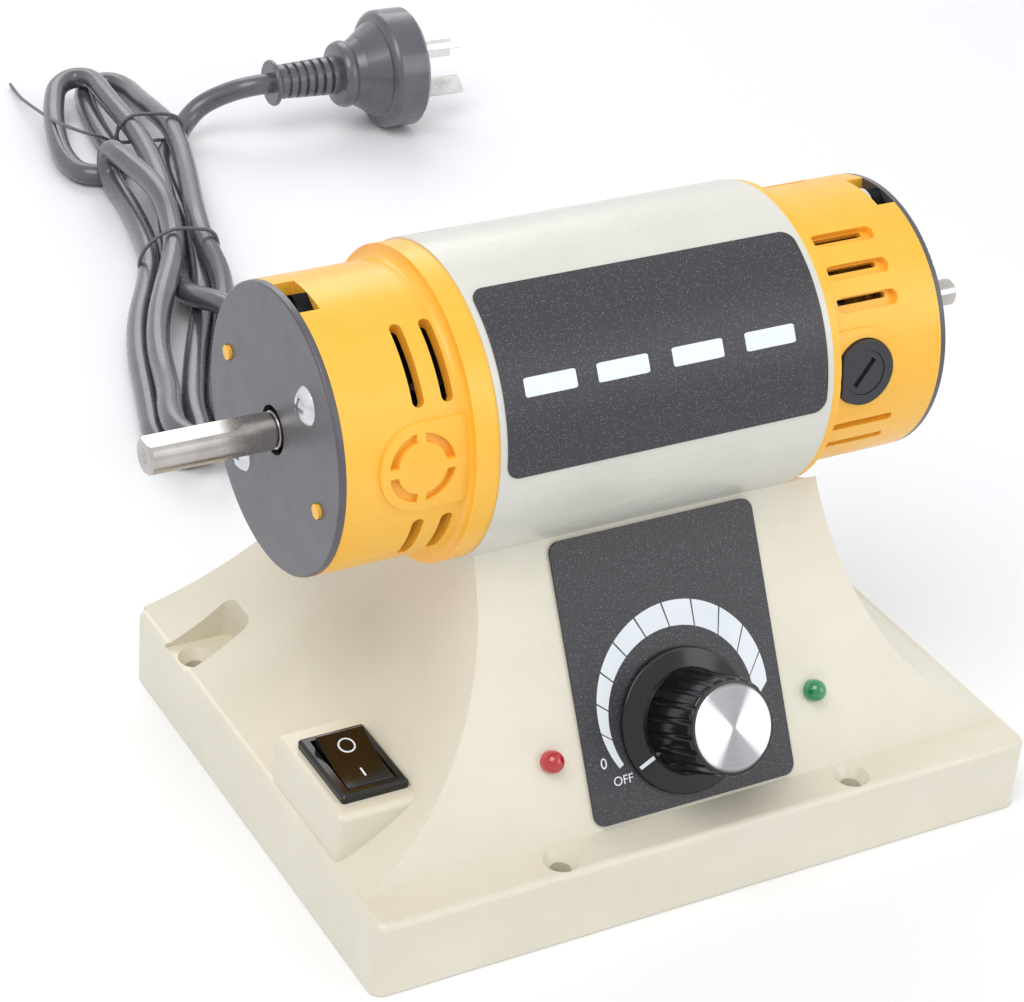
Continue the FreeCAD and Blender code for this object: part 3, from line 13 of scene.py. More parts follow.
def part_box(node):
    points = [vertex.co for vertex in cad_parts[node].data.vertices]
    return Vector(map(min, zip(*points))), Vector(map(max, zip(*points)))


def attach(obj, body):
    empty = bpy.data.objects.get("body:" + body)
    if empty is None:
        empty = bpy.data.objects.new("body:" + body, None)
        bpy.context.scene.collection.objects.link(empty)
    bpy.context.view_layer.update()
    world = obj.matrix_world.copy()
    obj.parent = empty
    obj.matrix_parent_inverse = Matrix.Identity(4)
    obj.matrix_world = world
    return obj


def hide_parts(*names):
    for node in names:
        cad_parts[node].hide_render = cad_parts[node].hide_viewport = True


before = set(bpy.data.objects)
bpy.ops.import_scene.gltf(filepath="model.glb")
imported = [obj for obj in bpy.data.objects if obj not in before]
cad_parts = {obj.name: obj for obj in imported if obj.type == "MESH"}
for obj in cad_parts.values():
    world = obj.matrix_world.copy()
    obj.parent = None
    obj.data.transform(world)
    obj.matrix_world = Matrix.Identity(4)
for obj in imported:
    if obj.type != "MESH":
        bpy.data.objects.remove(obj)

LOG = logging.getLogger("polishing_lathe")
MM = 0.001
AXIS_HEIGHT = 99.2
PANEL_FOOT = (0.0, -52.0, 18.0)
PANEL_LEAN = 29.24
# Height of a capital as a share of the built-in font's size, and the raised height of printed ink.
CAPITAL_SHARE = 0.7
INK_MM = 0.03
# The wave texture multiplies its coordinate by this before it takes the sine.
WAVE_FACTOR = 20


class Body(Enum):
    """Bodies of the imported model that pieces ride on."""

    MACHINE = "machine"
    ROTOR = "rotor"
    KNOB = "speed_knob"
    ROCKER = "power_rocker"


class Heading(Enum):
    """Directions that a band pattern can run in."""

    X = "X"
    Y = "Y"
    Z = "Z"


def linear(code: str) -> tuple[float, float, float, float]:
    """Turn an sRGB hex colour into linear light.

    Args:
        code: Six hex digits.

    Returns:
        Red, green, blue and an alpha of one.
    """
    parts = [int(code[i:i + 2], 16) / 255 for i in (0, 2, 4)]
    out = [c / 12.92 if c <= 0.04045 else ((c + 0.055) / 1.055) ** 2.4 for c in parts]
    return out[0], out[1], out[2], 1.0


def add(tree: bpy.types.NodeTree, kind: str, settings: Optional[dict] = None,
        links: Optional[dict] = None) -> bpy.types.Node:
    """Add a shader node with its settings and links.

    Args:
        tree: Node tree that gets the node.
        kind: Node type without the ShaderNode prefix.
        settings: Input values by socket name or number, or attributes by name.
        links: Output sockets by the name or number of the input they feed.

    Returns:
        The new node.
    """
    node = tree.nodes.new("ShaderNode" + kind)
    for key, value in (settings or {}).items():
        if isinstance(key, int) or key in node.inputs:
            node.inputs[key].default_value = value
        else:
            setattr(node, key, value)
    for key, socket in (links or {}).items():
        tree.links.new(socket, node.inputs[key])
    return node


def per_metre(size_mm: float) -> float:
    """Texture scale that gives a feature of this size in millimetres."""
    return 1000.0 / size_mm


def new_material(name: str) -> tuple[bpy.types.Material, bpy.types.NodeTree, bpy.types.Node, Any]:
    """Start a material.

    Args:
        name: Name of the finish.

    Returns:
        The material, its tree, its main shader and the object coordinates.
    """
    material = bpy.data.materials.new(name)
    material.use_nodes = True
    tree = material.node_tree
    shader = tree.nodes["Principled BSDF"]
    where = add(tree, "TexCoord").outputs["Object"]
    return material, tree, shader, where


def tint(tree: bpy.types.NodeTree, shader: bpy.types.Node, where: Any, colours: tuple[str, str],
         patch_mm: float, reach: tuple[float, float] = (0.35, 0.65)) -> None:
    """Feed the base colour with a slow drift between two close colours.

    Args:
        tree: Node tree of the material.
        shader: Its main shader.
        where: Coordinates.
        colours: The two sRGB colours.
        patch_mm: Size of a patch.
        reach: Noise values at which each colour is full.
    """
    noise = add(tree, "TexNoise", {"Scale": per_metre(patch_mm), "Detail": 3.0}, {"Vector": where})
    ramp = add(tree, "ValToRGB", links={"Fac": noise.outputs["Fac"]})
    for stop, at, code in zip(ramp.color_ramp.elements, reach, colours):
        stop.position = at
        stop.color = linear(code)
    tree.links.new(ramp.outputs["Color"], shader.inputs["Base Color"])


def vary_roughness(tree: bpy.types.NodeTree, shader: bpy.types.Node, where: Any,
                   low: float, high: float, patch_mm: float) -> None:
    """Let roughness drift between two values in patches of a size in millimetres."""
    noise = add(tree, "TexNoise", {"Scale": per_metre(patch_mm), "Detail": 4.0}, {"Vector": where})
    span = add(tree, "MapRange", {"From Min": 0.3, "From Max": 0.7, "To Min": low, "To Max": high},
               {"Value": noise.outputs["Fac"]})
    tree.links.new(span.outputs["Result"], shader.inputs["Roughness"])


def raise_surface(tree: bpy.types.NodeTree, shader: bpy.types.Node, height: Any, depth_mm: float,
                  strength: float) -> None:
    """Turn a height pattern into a bump of a depth in millimetres."""
    bump = add(tree, "Bump", {"Strength": strength, "Distance": depth_mm * MM}, {"Height": height})
    tree.links.new(bump.outputs["Normal"], shader.inputs["Normal"])


@dataclass(frozen=True)
class HammeredEnamel:
    """Stoved enamel over cast or rolled metal: shallow dimples break up its highlights."""

    name: str
    colours: tuple[str, str]
    dimple_mm: float = 2.3
    depth_mm: float = 0.16
    roughness: tuple[float, float] = (0.30, 0.40)
    coat: float = 0.35
    coat_roughness: float = 0.22

    def make(self) -> bpy.types.Material:
        """Build the material."""
        material, tree, shader, where = new_material(self.name)
        tint(tree, shader, where, self.colours, 24.0)
        vary_roughness(tree, shader, where, *self.roughness, 9.0)
        dimples = add(tree, "TexVoronoi", {"feature": "SMOOTH_F1", "Scale": per_metre(self.dimple_mm),
                                           "Smoothness": 0.9, "Randomness": 1.0}, {"Vector": where})
        ripple = add(tree, "TexNoise", {"Scale": per_metre(self.dimple_mm * 1.6), "Detail": 2.0},
                     {"Vector": where})
        height = add(tree, "Math", {"operation": "MULTIPLY_ADD", 1: 0.55},
                     {0: dimples.outputs["Distance"], 2: ripple.outputs["Fac"]})
        raise_surface(tree, shader, height.outputs["Value"], self.depth_mm, 0.75)
        shader.inputs["IOR"].default_value = 1.5
        shader.inputs["Coat Weight"].default_value = self.coat
        shader.inputs["Coat Roughness"].default_value = self.coat_roughness
        return material


@dataclass(frozen=True)
class MouldedPlastic:
    """Injection-moulded plastic: even colour, a soft gloss and a trace of spark-eroded grain."""

    name: str
    colours: tuple[str, str]
    roughness: tuple[float, float] = (0.22, 0.30)
    grain_mm: float = 0.5
    depth_mm: float = 0.012
    glow: float = 0.0

    def make(self) -> bpy.types.Material:
        """Build the material."""
        material, tree, shader, where = new_material(self.name)
        tint(tree, shader, where, self.colours, 16.0)
        vary_roughness(tree, shader, where, *self.roughness, 5.0)
        grain = add(tree, "TexNoise", {"Scale": per_metre(self.grain_mm), "Detail": 3.0}, {"Vector": where})
        raise_surface(tree, shader, grain.outputs["Fac"], self.depth_mm, 0.6)
        shader.inputs["IOR"].default_value = 1.49
        if self.glow:
            shader.inputs["Subsurface Weight"].default_value = self.glow
            shader.inputs["Subsurface Radius"].default_value = (1.0, 0.5, 0.15)
            shader.inputs["Subsurface Scale"].default_value = 1.5 * MM
        return material


@dataclass(frozen=True)
class SpeckledFilm:
    """Screen-printed black film with a sparkle of pale grit in the ink."""

    name: str
    ground: str = "333237"
    speck: str = "9C9AA1"
    grit_mm: float = 0.5
    roughness: float = 0.42

    def make(self) -> bpy.types.Material:
        """Build the material."""
        material, tree, shader, where = new_material(self.name)
        grit = add(tree, "TexVoronoi", {"Scale": per_metre(self.grit_mm)}, {"Vector": where})
        tone = add(tree, "TexNoise", {"Scale": per_metre(0.9), "Detail": 4.0}, {"Vector": where})
        share = add(tree, "MapRange", {"From Min": 0.30, "From Max": 0.08, "To Min": 0.0, "To Max": 1.1},
                    {"Value": grit.outputs["Distance"]})
        mask = add(tree, "Math", {"operation": "MULTIPLY"},
                   {0: share.outputs["Result"], 1: tone.outputs["Fac"]})
        mix = add(tree, "Mix", {"data_type": "RGBA", 6: linear(self.ground), 7: linear(self.speck)},
                  {0: mask.outputs["Value"]})
        tree.links.new(mix.outputs[2], shader.inputs["Base Color"])
        shader.inputs["Roughness"].default_value = self.roughness
        raise_surface(tree, shader, grit.outputs["Distance"], 0.02, 0.5)
        return material


@dataclass(frozen=True)
class SatinBlack:
    """Satin black lacquer on sheet metal, soft enough to turn grey under a white ceiling."""

    name: str
    colours: tuple[str, str] = ("4B484F", "514E55")
    roughness: tuple[float, float] = (0.34, 0.42)

    def make(self) -> bpy.types.Material:
        """Build the material."""
        material, tree, shader, where = new_material(self.name)
        tint(tree, shader, where, self.colours, 10.0)
        vary_roughness(tree, shader, where, *self.roughness, 4.0)
        grain = add(tree, "TexNoise", {"Scale": per_metre(0.35), "Detail": 2.0}, {"Vector": where})
        raise_surface(tree, shader, grain.outputs["Fac"], 0.02, 0.5)
        shader.inputs["Coat Weight"].default_value = 0.5
        shader.inputs["Coat Roughness"].default_value = 0.4
        return material


@dataclass(frozen=True)
class TurnedMetal:
    """Ground or turned metal: fine tool lines round the part stretch its highlights."""

    name: str
    colours: tuple[str, str]
    heading: Heading
    line_mm: float = 0.35
    roughness: tuple[float, float] = (0.2, 0.3)
    depth_mm: float = 0.002

    def make(self) -> bpy.types.Material:
        """Build the material."""
        material, tree, shader, where = new_material(self.name)
        shader.inputs["Metallic"].default_value = 1.0
        tint(tree, shader, where, self.colours, 6.0)
        stretch = {Heading.X: (1.0, 0.02, 0.02), Heading.Y: (0.02, 1.0, 0.02), Heading.Z: (0.02, 0.02, 1.0)}
        drawn = add(tree, "Mapping", {"Scale": stretch[self.heading]}, {"Vector": where})
        lines = add(tree, "TexNoise", {"Scale": per_metre(self.line_mm), "Detail": 4.0, "Roughness": 0.7},
                    {"Vector": drawn.outputs["Vector"]})
        span = add(tree, "MapRange", {"From Min": 0.3, "From Max": 0.7, "To Min": self.roughness[0],
                                      "To Max": self.roughness[1]}, {"Value": lines.outputs["Fac"]})
        tree.links.new(span.outputs["Result"], shader.inputs["Roughness"])
        raise_surface(tree, shader, lines.outputs["Fac"], self.depth_mm, 0.6)
        return material


@dataclass(frozen=True)
class SpunFace:
    """Aluminium faced on a lathe: rings round the centre fan the light out into bright wedges.

    The pale studio has too little contrast to light the wedges by itself, so a painted highlight makes the
    metal lighter on two sides of its centre, and the rings' direction does the rest.
    """

    name: str
    centre_mm: tuple[float, float, float]
    axis: tuple[float, float, float]
    ring_mm: float = 0.32
    # The second colour is a painted highlight; the next field gives where that highlight begins and where it
    # is full.
    colours: tuple[str, str] = ("98999D", "F2F2F4")
    painted_highlight_wedge: tuple[float, float] = (0.5, 0.78)
    roughness: tuple[float, float] = (0.28, 0.42)

    def make(self) -> bpy.types.Material:
        """Build the material."""
        material, tree, shader, where = new_material(self.name)
        shader.inputs["Metallic"].default_value = 1.0
        near = add(tree, "VectorMath", {"operation": "SUBTRACT", 1: Vector(self.centre_mm) * MM}, {0: where})
        reach = add(tree, "VectorMath", {"operation": "LENGTH"}, {0: near.outputs["Vector"]})
        rings = add(tree, "TexNoise", {"noise_dimensions": "1D", "Scale": per_metre(self.ring_mm),
                                       "Detail": 3.0, "Roughness": 0.6}, {"W": reach.outputs["Value"]})
        span = add(tree, "MapRange", {"From Min": 0.3, "From Max": 0.7, "To Min": self.roughness[0],
                                      "To Max": self.roughness[1]}, {"Value": rings.outputs["Fac"]})
        tree.links.new(span.outputs["Result"], shader.inputs["Roughness"])
        along = add(tree, "VectorMath", {"operation": "CROSS_PRODUCT", 1: Vector(self.axis)},
                    {0: near.outputs["Vector"]})
        tree.links.new(along.outputs["Vector"], shader.inputs["Tangent"])
        shader.inputs["Anisotropic"].default_value = 0.9
        # Painted highlight: the base colour runs from dark metal to near white where the face points along X
        # from its centre, standing in for bright wedges of light.
        across = add(tree, "VectorMath", {"operation": "DOT_PRODUCT", 1: Vector((1, 0, 0))},
                     {0: near.outputs["Vector"]})
        share = add(tree, "Math", {"operation": "DIVIDE"},
                    {0: across.outputs["Value"], 1: reach.outputs["Value"]})
        side = add(tree, "Math", {"operation": "ABSOLUTE"}, {0: share.outputs["Value"]})
        fan = add(tree, "ValToRGB", links={"Fac": side.outputs["Value"]})
        for stop, at, code in zip(fan.color_ramp.elements, self.painted_highlight_wedge, self.colours):
            stop.position = at
            stop.color = linear(code)
        tree.links.new(fan.outputs["Color"], shader.inputs["Base Color"])
        raise_surface(tree, shader, rings.outputs["Fac"], 0.01, 0.5)
        return material


@dataclass(frozen=True)
class PlatedMetal:
    """Zinc, nickel or brass plate: bright, with a faint cloudy bloom."""

    name: str
    colours: tuple[str, str]
    roughness: tuple[float, float] = (0.18, 0.32)

    def make(self) -> bpy.types.Material:
        """Build the material."""
        material, tree, shader, where = new_material(self.name)
        shader.inputs["Metallic"].default_value = 1.0
        tint(tree, shader, where, self.colours, 2.5)
        vary_roughness(tree, shader, where, *self.roughness, 1.2)
        pits = add(tree, "TexNoise", {"Scale": per_metre(0.4), "Detail": 3.0}, {"Vector": where})
        raise_surface(tree, shader, pits.outputs["Fac"], 0.01, 0.4)
        return material


@dataclass(frozen=True)
class SoftSheath:
    """Soft PVC of the lead and plug: dull grey with a broad waxy highlight."""

    name: str
    colours: tuple[str, str] = ("504E56", "5A5860")
    roughness: tuple[float, float] = (0.24, 0.32)

    def make(self) -> bpy.types.Material:
        """Build the material."""
        material, tree, shader, where = new_material(self.name)
        tint(tree, shader, where, self.colours, 8.0)
        vary_roughness(tree, shader, where, *self.roughness, 3.0)
        grain = add(tree, "TexNoise", {"Scale": per_metre(0.6), "Detail": 4.0}, {"Vector": where})
        raise_surface(tree, shader, grain.outputs["Fac"], 0.008, 0.4)
        shader.inputs["Coat Weight"].default_value = 0.5
        shader.inputs["Coat Roughness"].default_value = 0.2
        shader.inputs["IOR"].default_value = 1.55
        return material


@dataclass(frozen=True)
class LampLens:
    """Tinted epoxy of an indicator lamp, deep in colour with a hard small highlight."""

    name: str
    deep: str
    painted_sheen_rim: str

    def make(self) -> bpy.types.Material:
        """Build the material."""
        material, tree, shader, where = new_material(self.name)
        # Painted sheen: the base colour turns from the deep colour to a lighter one towards the lens's edges
        # as seen from the view.
        facing = add(tree, "LayerWeight", {"Blend": 0.35})
        mix = add(tree, "Mix", {"data_type": "RGBA", 6: linear(self.deep), 7: linear(self.painted_sheen_rim)},
                  {0: facing.outputs["Facing"]})
        tree.links.new(mix.outputs[2], shader.inputs["Base Color"])
        ripple = add(tree, "TexNoise", {"Scale": per_metre(1.2), "Detail": 2.0}, {"Vector": where})
        raise_surface(tree, shader, ripple.outputs["Fac"], 0.02, 0.3)
        shader.inputs["Roughness"].default_value = 0.08
        shader.inputs["Transmission Weight"].default_value = 0.15
        shader.inputs["Coat Weight"].default_value = 0.8
        shader.inputs["Coat Roughness"].default_value = 0.04
        return material


@dataclass(frozen=True)
class StackedSheet:
    """Laminated electrical steel: dark sheets half a millimetre thick, edge on."""

    name: str
    sheet_mm: float = 0.5
    colours: tuple[str, str] = ("4A4A4E", "8A8B90")

    def make(self) -> bpy.types.Material:
        """Build the material."""
        material, tree, shader, where = new_material(self.name)
        bands = add(tree, "TexWave", {"wave_type": "BANDS", "bands_direction": "X",
                                      "Scale": per_metre(self.sheet_mm) / WAVE_FACTOR, "Distortion": 0.3},
                    {"Vector": where})
        ramp = add(tree, "ValToRGB", links={"Fac": bands.outputs["Fac"]})
        for stop, code in zip(ramp.color_ramp.elements, self.colours):
            stop.color = linear(code)
        tree.links.new(ramp.outputs["Color"], shader.inputs["Base Color"])
        shader.inputs["Metallic"].default_value = 0.9
        shader.inputs["Roughness"].default_value = 0.5
        raise_surface(tree, shader, bands.outputs["Fac"], 0.05, 0.5)
        return material


@dataclass(frozen=True)
class WoundWire:
    """Enamelled copper wire, laid turn by turn across the coil."""

    name: str
    wire_mm: float = 0.6
    colours: tuple[str, str] = ("6E3410", "C9702F")

    def make(self) -> bpy.types.Material:
        """Build the material."""
        material, tree, shader, where = new_material(self.name)
        turns = add(tree, "TexWave", {"wave_type": "BANDS", "bands_direction": "DIAGONAL",
                                      "Scale": per_metre(self.wire_mm) / WAVE_FACTOR, "Distortion": 0.6},
                    {"Vector": where})
        ramp = add(tree, "ValToRGB", links={"Fac": turns.outputs["Fac"]})
        for stop, code in zip(ramp.color_ramp.elements, self.colours):
            stop.color = linear(code)
        tree.links.new(ramp.outputs["Color"], shader.inputs["Base Color"])
        shader.inputs["Metallic"].default_value = 0.8
        shader.inputs["Roughness"].default_value = 0.3
        raise_surface(tree, shader, turns.outputs["Fac"], 0.2, 0.8)
        return material


# Frame of the leaning front panel: X along it, Y up its slope, Z out of it.
PANEL = (Matrix.Translation(Vector(PANEL_FOOT) * MM)
         @ Matrix.Rotation(math.radians(90 - PANEL_LEAN), 4, "X"))


def link_mesh(name: str, shape: bmesh.types.BMesh, place: Matrix, finish: bpy.types.Material,
              body: Body, smooth: bool = True) -> bpy.types.Object:
    """Make a finished piece of a bmesh built in millimetres.

    Args:
        name: Name of the piece.
        shape: The mesh, in millimetres in its own frame.
        place: Where its frame is, in metres.
        finish: Its material.
        body: Body that it rides on.
        smooth: Whether its faces are shaded smooth.

    Returns:
        The object, at the origin, with its place in its mesh.
    """
    bmesh.ops.transform(shape, matrix=place @ Matrix.Scale(MM, 4), verts=shape.verts)
    mesh = bpy.data.meshes.new(name)
    shape.to_mesh(mesh)
    shape.free()
    for face in mesh.polygons:
        face.use_smooth = smooth
    piece = bpy.data.objects.new(name, mesh)
    bpy.context.scene.collection.objects.link(piece)
    mesh.materials.append(finish)
    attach(piece, body.value)
    LOG.info("%s: %d faces", name, len(mesh.polygons))
    return piece


def link_text(name: str, words: str, height_mm: float, at_mm: tuple[float, float, float], place: Matrix,
              finish: bpy.types.Material, body: Body) -> bpy.types.Object:
    """Print a short generic mark as a thin raised mesh.

    Args:
        name: Name of the piece.
        words: The mark.
        height_mm: Height of a capital.
        at_mm: Centre of the mark in its frame.
        place: Where that frame is, in metres.
        finish: Its material.
        body: Body that it rides on.

    Returns:
        The mark's object.
    """
    curve = bpy.data.curves.new(name, "FONT")
    curve.body = words
    curve.size = height_mm / CAPITAL_SHARE
    curve.align_x = "CENTER"
    curve.align_y = "CENTER"
    curve.extrude = INK_MM
    source = bpy.data.objects.new(name + "_text", curve)
    bpy.context.scene.collection.objects.link(source)
    bpy.context.view_layer.update()
    mesh = bpy.data.meshes.new_from_object(source)
    bpy.data.objects.remove(source)
    shape = bmesh.new()
    shape.from_mesh(mesh)
    bpy.data.meshes.remove(mesh)
    bmesh.ops.translate(shape, vec=at_mm, verts=shape.verts)
    return link_mesh(name, shape, place, finish, body, smooth=False)


def link_curve(name: str, runs: Sequence[Sequence[Vector]], radius_mm: float,
               finish: bpy.types.Material) -> bpy.types.Object:
    """Make round cord or wire along smooth runs of control points.

    Args:
        name: Name of the piece.
        runs: Control points of each run, in millimetres.
        radius_mm: Radius of the cord or wire.
        finish: Its material.

    Returns:
        The curve's object.
    """
    curve = bpy.data.curves.new(name, "CURVE")
    curve.dimensions = "3D"
    for points in runs:
        spline = curve.splines.new("NURBS")
        spline.points.add(len(points) - 1)
        for point, place in zip(spline.points, points):
            point.co = (*(place * MM), 1.0)
        spline.order_u = 3
        spline.use_endpoint_u = True
        spline.use_smooth = True
    curve.resolution_u = 10
    curve.bevel_depth = radius_mm * MM
    curve.bevel_resolution = 6
    curve.use_fill_caps = True
    piece = bpy.data.objects.new(name, curve)
    bpy.context.scene.collection.objects.link(piece)
    curve.materials.append(finish)
    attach(piece, Body.MACHINE.value)
    LOG.info("%s: %d runs, %d points", name, len(runs), sum(len(points) for points in runs))
    return piece


@dataclass
class SpeedDial:
    """White crescent scale, its 0 and OFF marks, and the pointer on the knob's skirt."""

    inner_centre: tuple[float, float] = (-0.4, 20.8)
    inner_radius: float = 18.04
    outer_centre: tuple[float, float] = (0.3, 23.2)
    outer_radius: float = 21.1
    tip_angle: float = 206.9
    outer_angles: tuple[float, float] = (181.8, 17.9)
    inner_angles: tuple[float, float] = (187.7, 19.7)
    cells: int = 11
    divider: float = 0.3
    plate_top: float = 0.8
    knob: tuple[float, float] = (-0.3, 18.5)
    pointer_angle: float = 209.0
    pointer_reach: tuple[float, float] = (10.9, 15.2)
    pointer_section: tuple[float, float] = (0.9, 0.3)
    pointer_edge: float = 0.1
    pointer_height: float = 2.85
    skirt_fall: tuple[float, float] = (1.2, 3.7)

    def outer_reach(self, angle: float) -> float:
        """Distance from the inner centre to the outer circle at an angle in radians."""
        toward = Vector(self.outer_centre) - Vector(self.inner_centre)
        along = toward.dot(Vector((math.cos(angle), math.sin(angle))))
        return along + math.sqrt(self.outer_radius ** 2 - toward.length_squared + along ** 2)

    def cell(self, number: int) -> bmesh.types.BMesh:
        """Build one cell between two dividers, as a grid bent onto the crescent.

        Args:
            number: Cell number from the tip.

        Returns:
            The cell's mesh.
        """
        shape = bmesh.new()
        bmesh.ops.create_grid(shape, x_segments=8, y_segments=1, size=0.5)
        gap = math.degrees(self.divider / self.inner_radius) / 2
        ends = []
        for first, step in (self.inner_angles, self.outer_angles):
            start = self.tip_angle if number == 0 else first - (number - 1) * step - gap
            ends.append((start, first - number * step + gap))
        for vert in shape.verts:
            along, out = vert.co.x + 0.5, vert.co.y + 0.5
            inner, outer = (math.radians(a + (b - a) * along) for a, b in ends)
            angle = inner + (outer - inner) * out
            reach = self.inner_radius if out < 0.5 else max(self.outer_reach(angle), self.inner_radius)
            vert.co = (self.inner_centre[0] + reach * math.cos(angle),
                       self.inner_centre[1] + reach * math.sin(angle), self.plate_top + INK_MM)
        for face in shape.faces:
            face.normal_update()
            if face.normal.z < 0:
                face.normal_flip()
        return shape

    def crescent(self) -> bmesh.types.BMesh:
        """Join the cells into the crescent."""
        whole = bmesh.new()
        for i in range(self.cells):
            part = self.cell(i)
            mesh = bpy.data.meshes.new("cell")
            part.to_mesh(mesh)
            part.free()
            whole.from_mesh(mesh)
            bpy.data.meshes.remove(mesh)
        return whole

    def pointer(self) -> bmesh.types.BMesh:
        """Build the pointer: a slim bar that follows the skirt's slope."""
        shape = bmesh.new()
        bmesh.ops.create_cube(shape, size=1.0)
        low, high = self.pointer_reach
        bmesh.ops.scale(shape, vec=(high - low, *self.pointer_section), verts=shape.verts)
        bmesh.ops.bevel(shape, geom=shape.edges[:], offset=self.pointer_edge, offset_type="OFFSET",
                        segments=2, profile=0.5, material=-1, affect="EDGES")
        slope = math.atan2(*self.skirt_fall)
        bmesh.ops.rotate(shape, matrix=Matrix.Rotation(slope, 3, "Y"), verts=shape.verts)
        bmesh.ops.translate(shape, vec=((low + high) / 2, 0, self.pointer_height), verts=shape.verts)
        bmesh.ops.rotate(shape, matrix=Matrix.Rotation(math.radians(self.pointer_angle), 3, "Z"),
                         verts=shape.verts)
        bmesh.ops.translate(shape, vec=(*self.knob, 0), verts=shape.verts)
        return shape

    def build(self, ink: bpy.types.Material) -> None:
        """Make the printed marks in white ink."""
        z = self.plate_top + 0.02
        link_mesh("dial_scale", self.crescent(), PANEL, ink, Body.MACHINE)
        link_mesh("knob_pointer", self.pointer(), PANEL, ink, Body.KNOB)
        link_text("dial_zero", "0", 2.3, (-21.2, 13.8, z), PANEL, ink, Body.MACHINE)
        link_text("dial_off", "OFF", 1.95, (-17.2, 9.4, z), PANEL, ink, Body.MACHINE)


@dataclass
class RockerMarks:
    """White ring and bar moulded into the rocker's two wings."""

    pivot: tuple[float, float, float] = (-69.5, -24.8, 28.0)
    tilt: float = 10.0
    top: float = 4.8
    reach: float = 4.0
    dish: float = 0.9
    half_length: float = 8.1
    wing_slope: float = 6.0
    ring_radius: float = 1.75
    line: float = 0.42
    bar_size: tuple[float, float] = (2.6, 0.3)
    bar_edge: float = 0.08

    def face(self, along: float) -> Matrix:
        """Frame on the rocker's face at a distance behind its pivot."""
        place = Matrix.Translation(Vector(self.pivot) * MM)
        lean = Matrix.Rotation(math.radians(self.tilt), 4, "X")
        slope = Matrix.Rotation(math.copysign(math.radians(self.wing_slope), along), 4, "X")
        rise = self.top - self.dish * (1 - (along / self.half_length) ** 2)
        return place @ lean @ Matrix.Translation(Vector((0, along, rise)) * MM) @ slope

    def ring(self) -> bmesh.types.BMesh:
        """Build the ring as a thin torus, spun from a small circle."""
        shape = bmesh.new()
        bmesh.ops.create_circle(shape, radius=self.line / 2, segments=8)
        bmesh.ops.rotate(shape, matrix=Matrix.Rotation(math.radians(90), 3, "X"), verts=shape.verts)
        bmesh.ops.translate(shape, vec=(self.ring_radius, 0, 0), verts=shape.verts)
        bmesh.ops.spin(shape, geom=shape.verts[:] + shape.edges[:], cent=(0, 0, 0), axis=(0, 0, 1),
                       angle=math.tau, steps=32, use_merge=True)
        bmesh.ops.recalc_face_normals(shape, faces=shape.faces)
        return shape

    def bar(self) -> bmesh.types.BMesh:
        """Build the bar, its edges eased."""
        shape = bmesh.new()
        bmesh.ops.create_cube(shape, size=1.0)
        bmesh.ops.scale(shape, vec=(self.line, *self.bar_size), verts=shape.verts)
        bmesh.ops.bevel(shape, geom=shape.edges[:], offset=self.bar_edge, offset_type="OFFSET",
                        segments=2, profile=0.5, material=-1, affect="EDGES")
        return shape

    def build(self, ink: bpy.types.Material) -> None:
        """Make the two marks."""
        link_mesh("rocker_ring", self.ring(), self.face(self.reach), ink, Body.ROCKER)
        link_mesh("rocker_bar", self.bar(), self.face(-self.reach), ink, Body.ROCKER)


@dataclass
class TubeLabel:
    """Four blank white fields on the motor's label."""

    radius: float = 34.0
    fields: tuple[tuple[float, float], ...] = ((-38.9, -27.0), (-22.2, -10.2), (-4.6, 7.5), (12.9, 25.0))
    angles: tuple[float, float] = (26.8, 33.4)
    corner: float = 0.8

    def patch(self, low: float, high: float) -> bmesh.types.BMesh:
        """Build one field: an edge along the tube, spun round it, its corners rounded."""
        shape = bmesh.new()
        first, last = (math.radians(a) for a in self.angles)
        level = Vector((0, 0, AXIS_HEIGHT))
        side = level + Vector((0, -math.cos(first), math.sin(first))) * self.radius
        verts = [shape.verts.new(side + Vector((x, 0, 0))) for x in (low, high)]
        edge = shape.edges.new(verts)
        bmesh.ops.spin(shape, geom=verts + [edge], cent=level, axis=(1, 0, 0), angle=-(last - first),
                       steps=10, use_merge=False)
        corners = [v for v in shape.verts if len(v.link_edges) == 2 and len(v.link_faces) == 1]
        bmesh.ops.bevel(shape, geom=corners, offset=self.corner, offset_type="OFFSET", segments=4,
                        profile=0.5, material=-1, affect="VERTICES")
        for face in shape.faces:
            if face.normal.dot(face.calc_center_median() - level) < 0:
                face.normal_flip()
        return shape

    def build(self, ink: bpy.types.Material) -> None:
        """Make the four fields."""
        for i, (low, high) in enumerate(self.fields):
            link_mesh(f"label_field_{i + 1}", self.patch(low, high), Matrix.Identity(4), ink, Body.MACHINE)


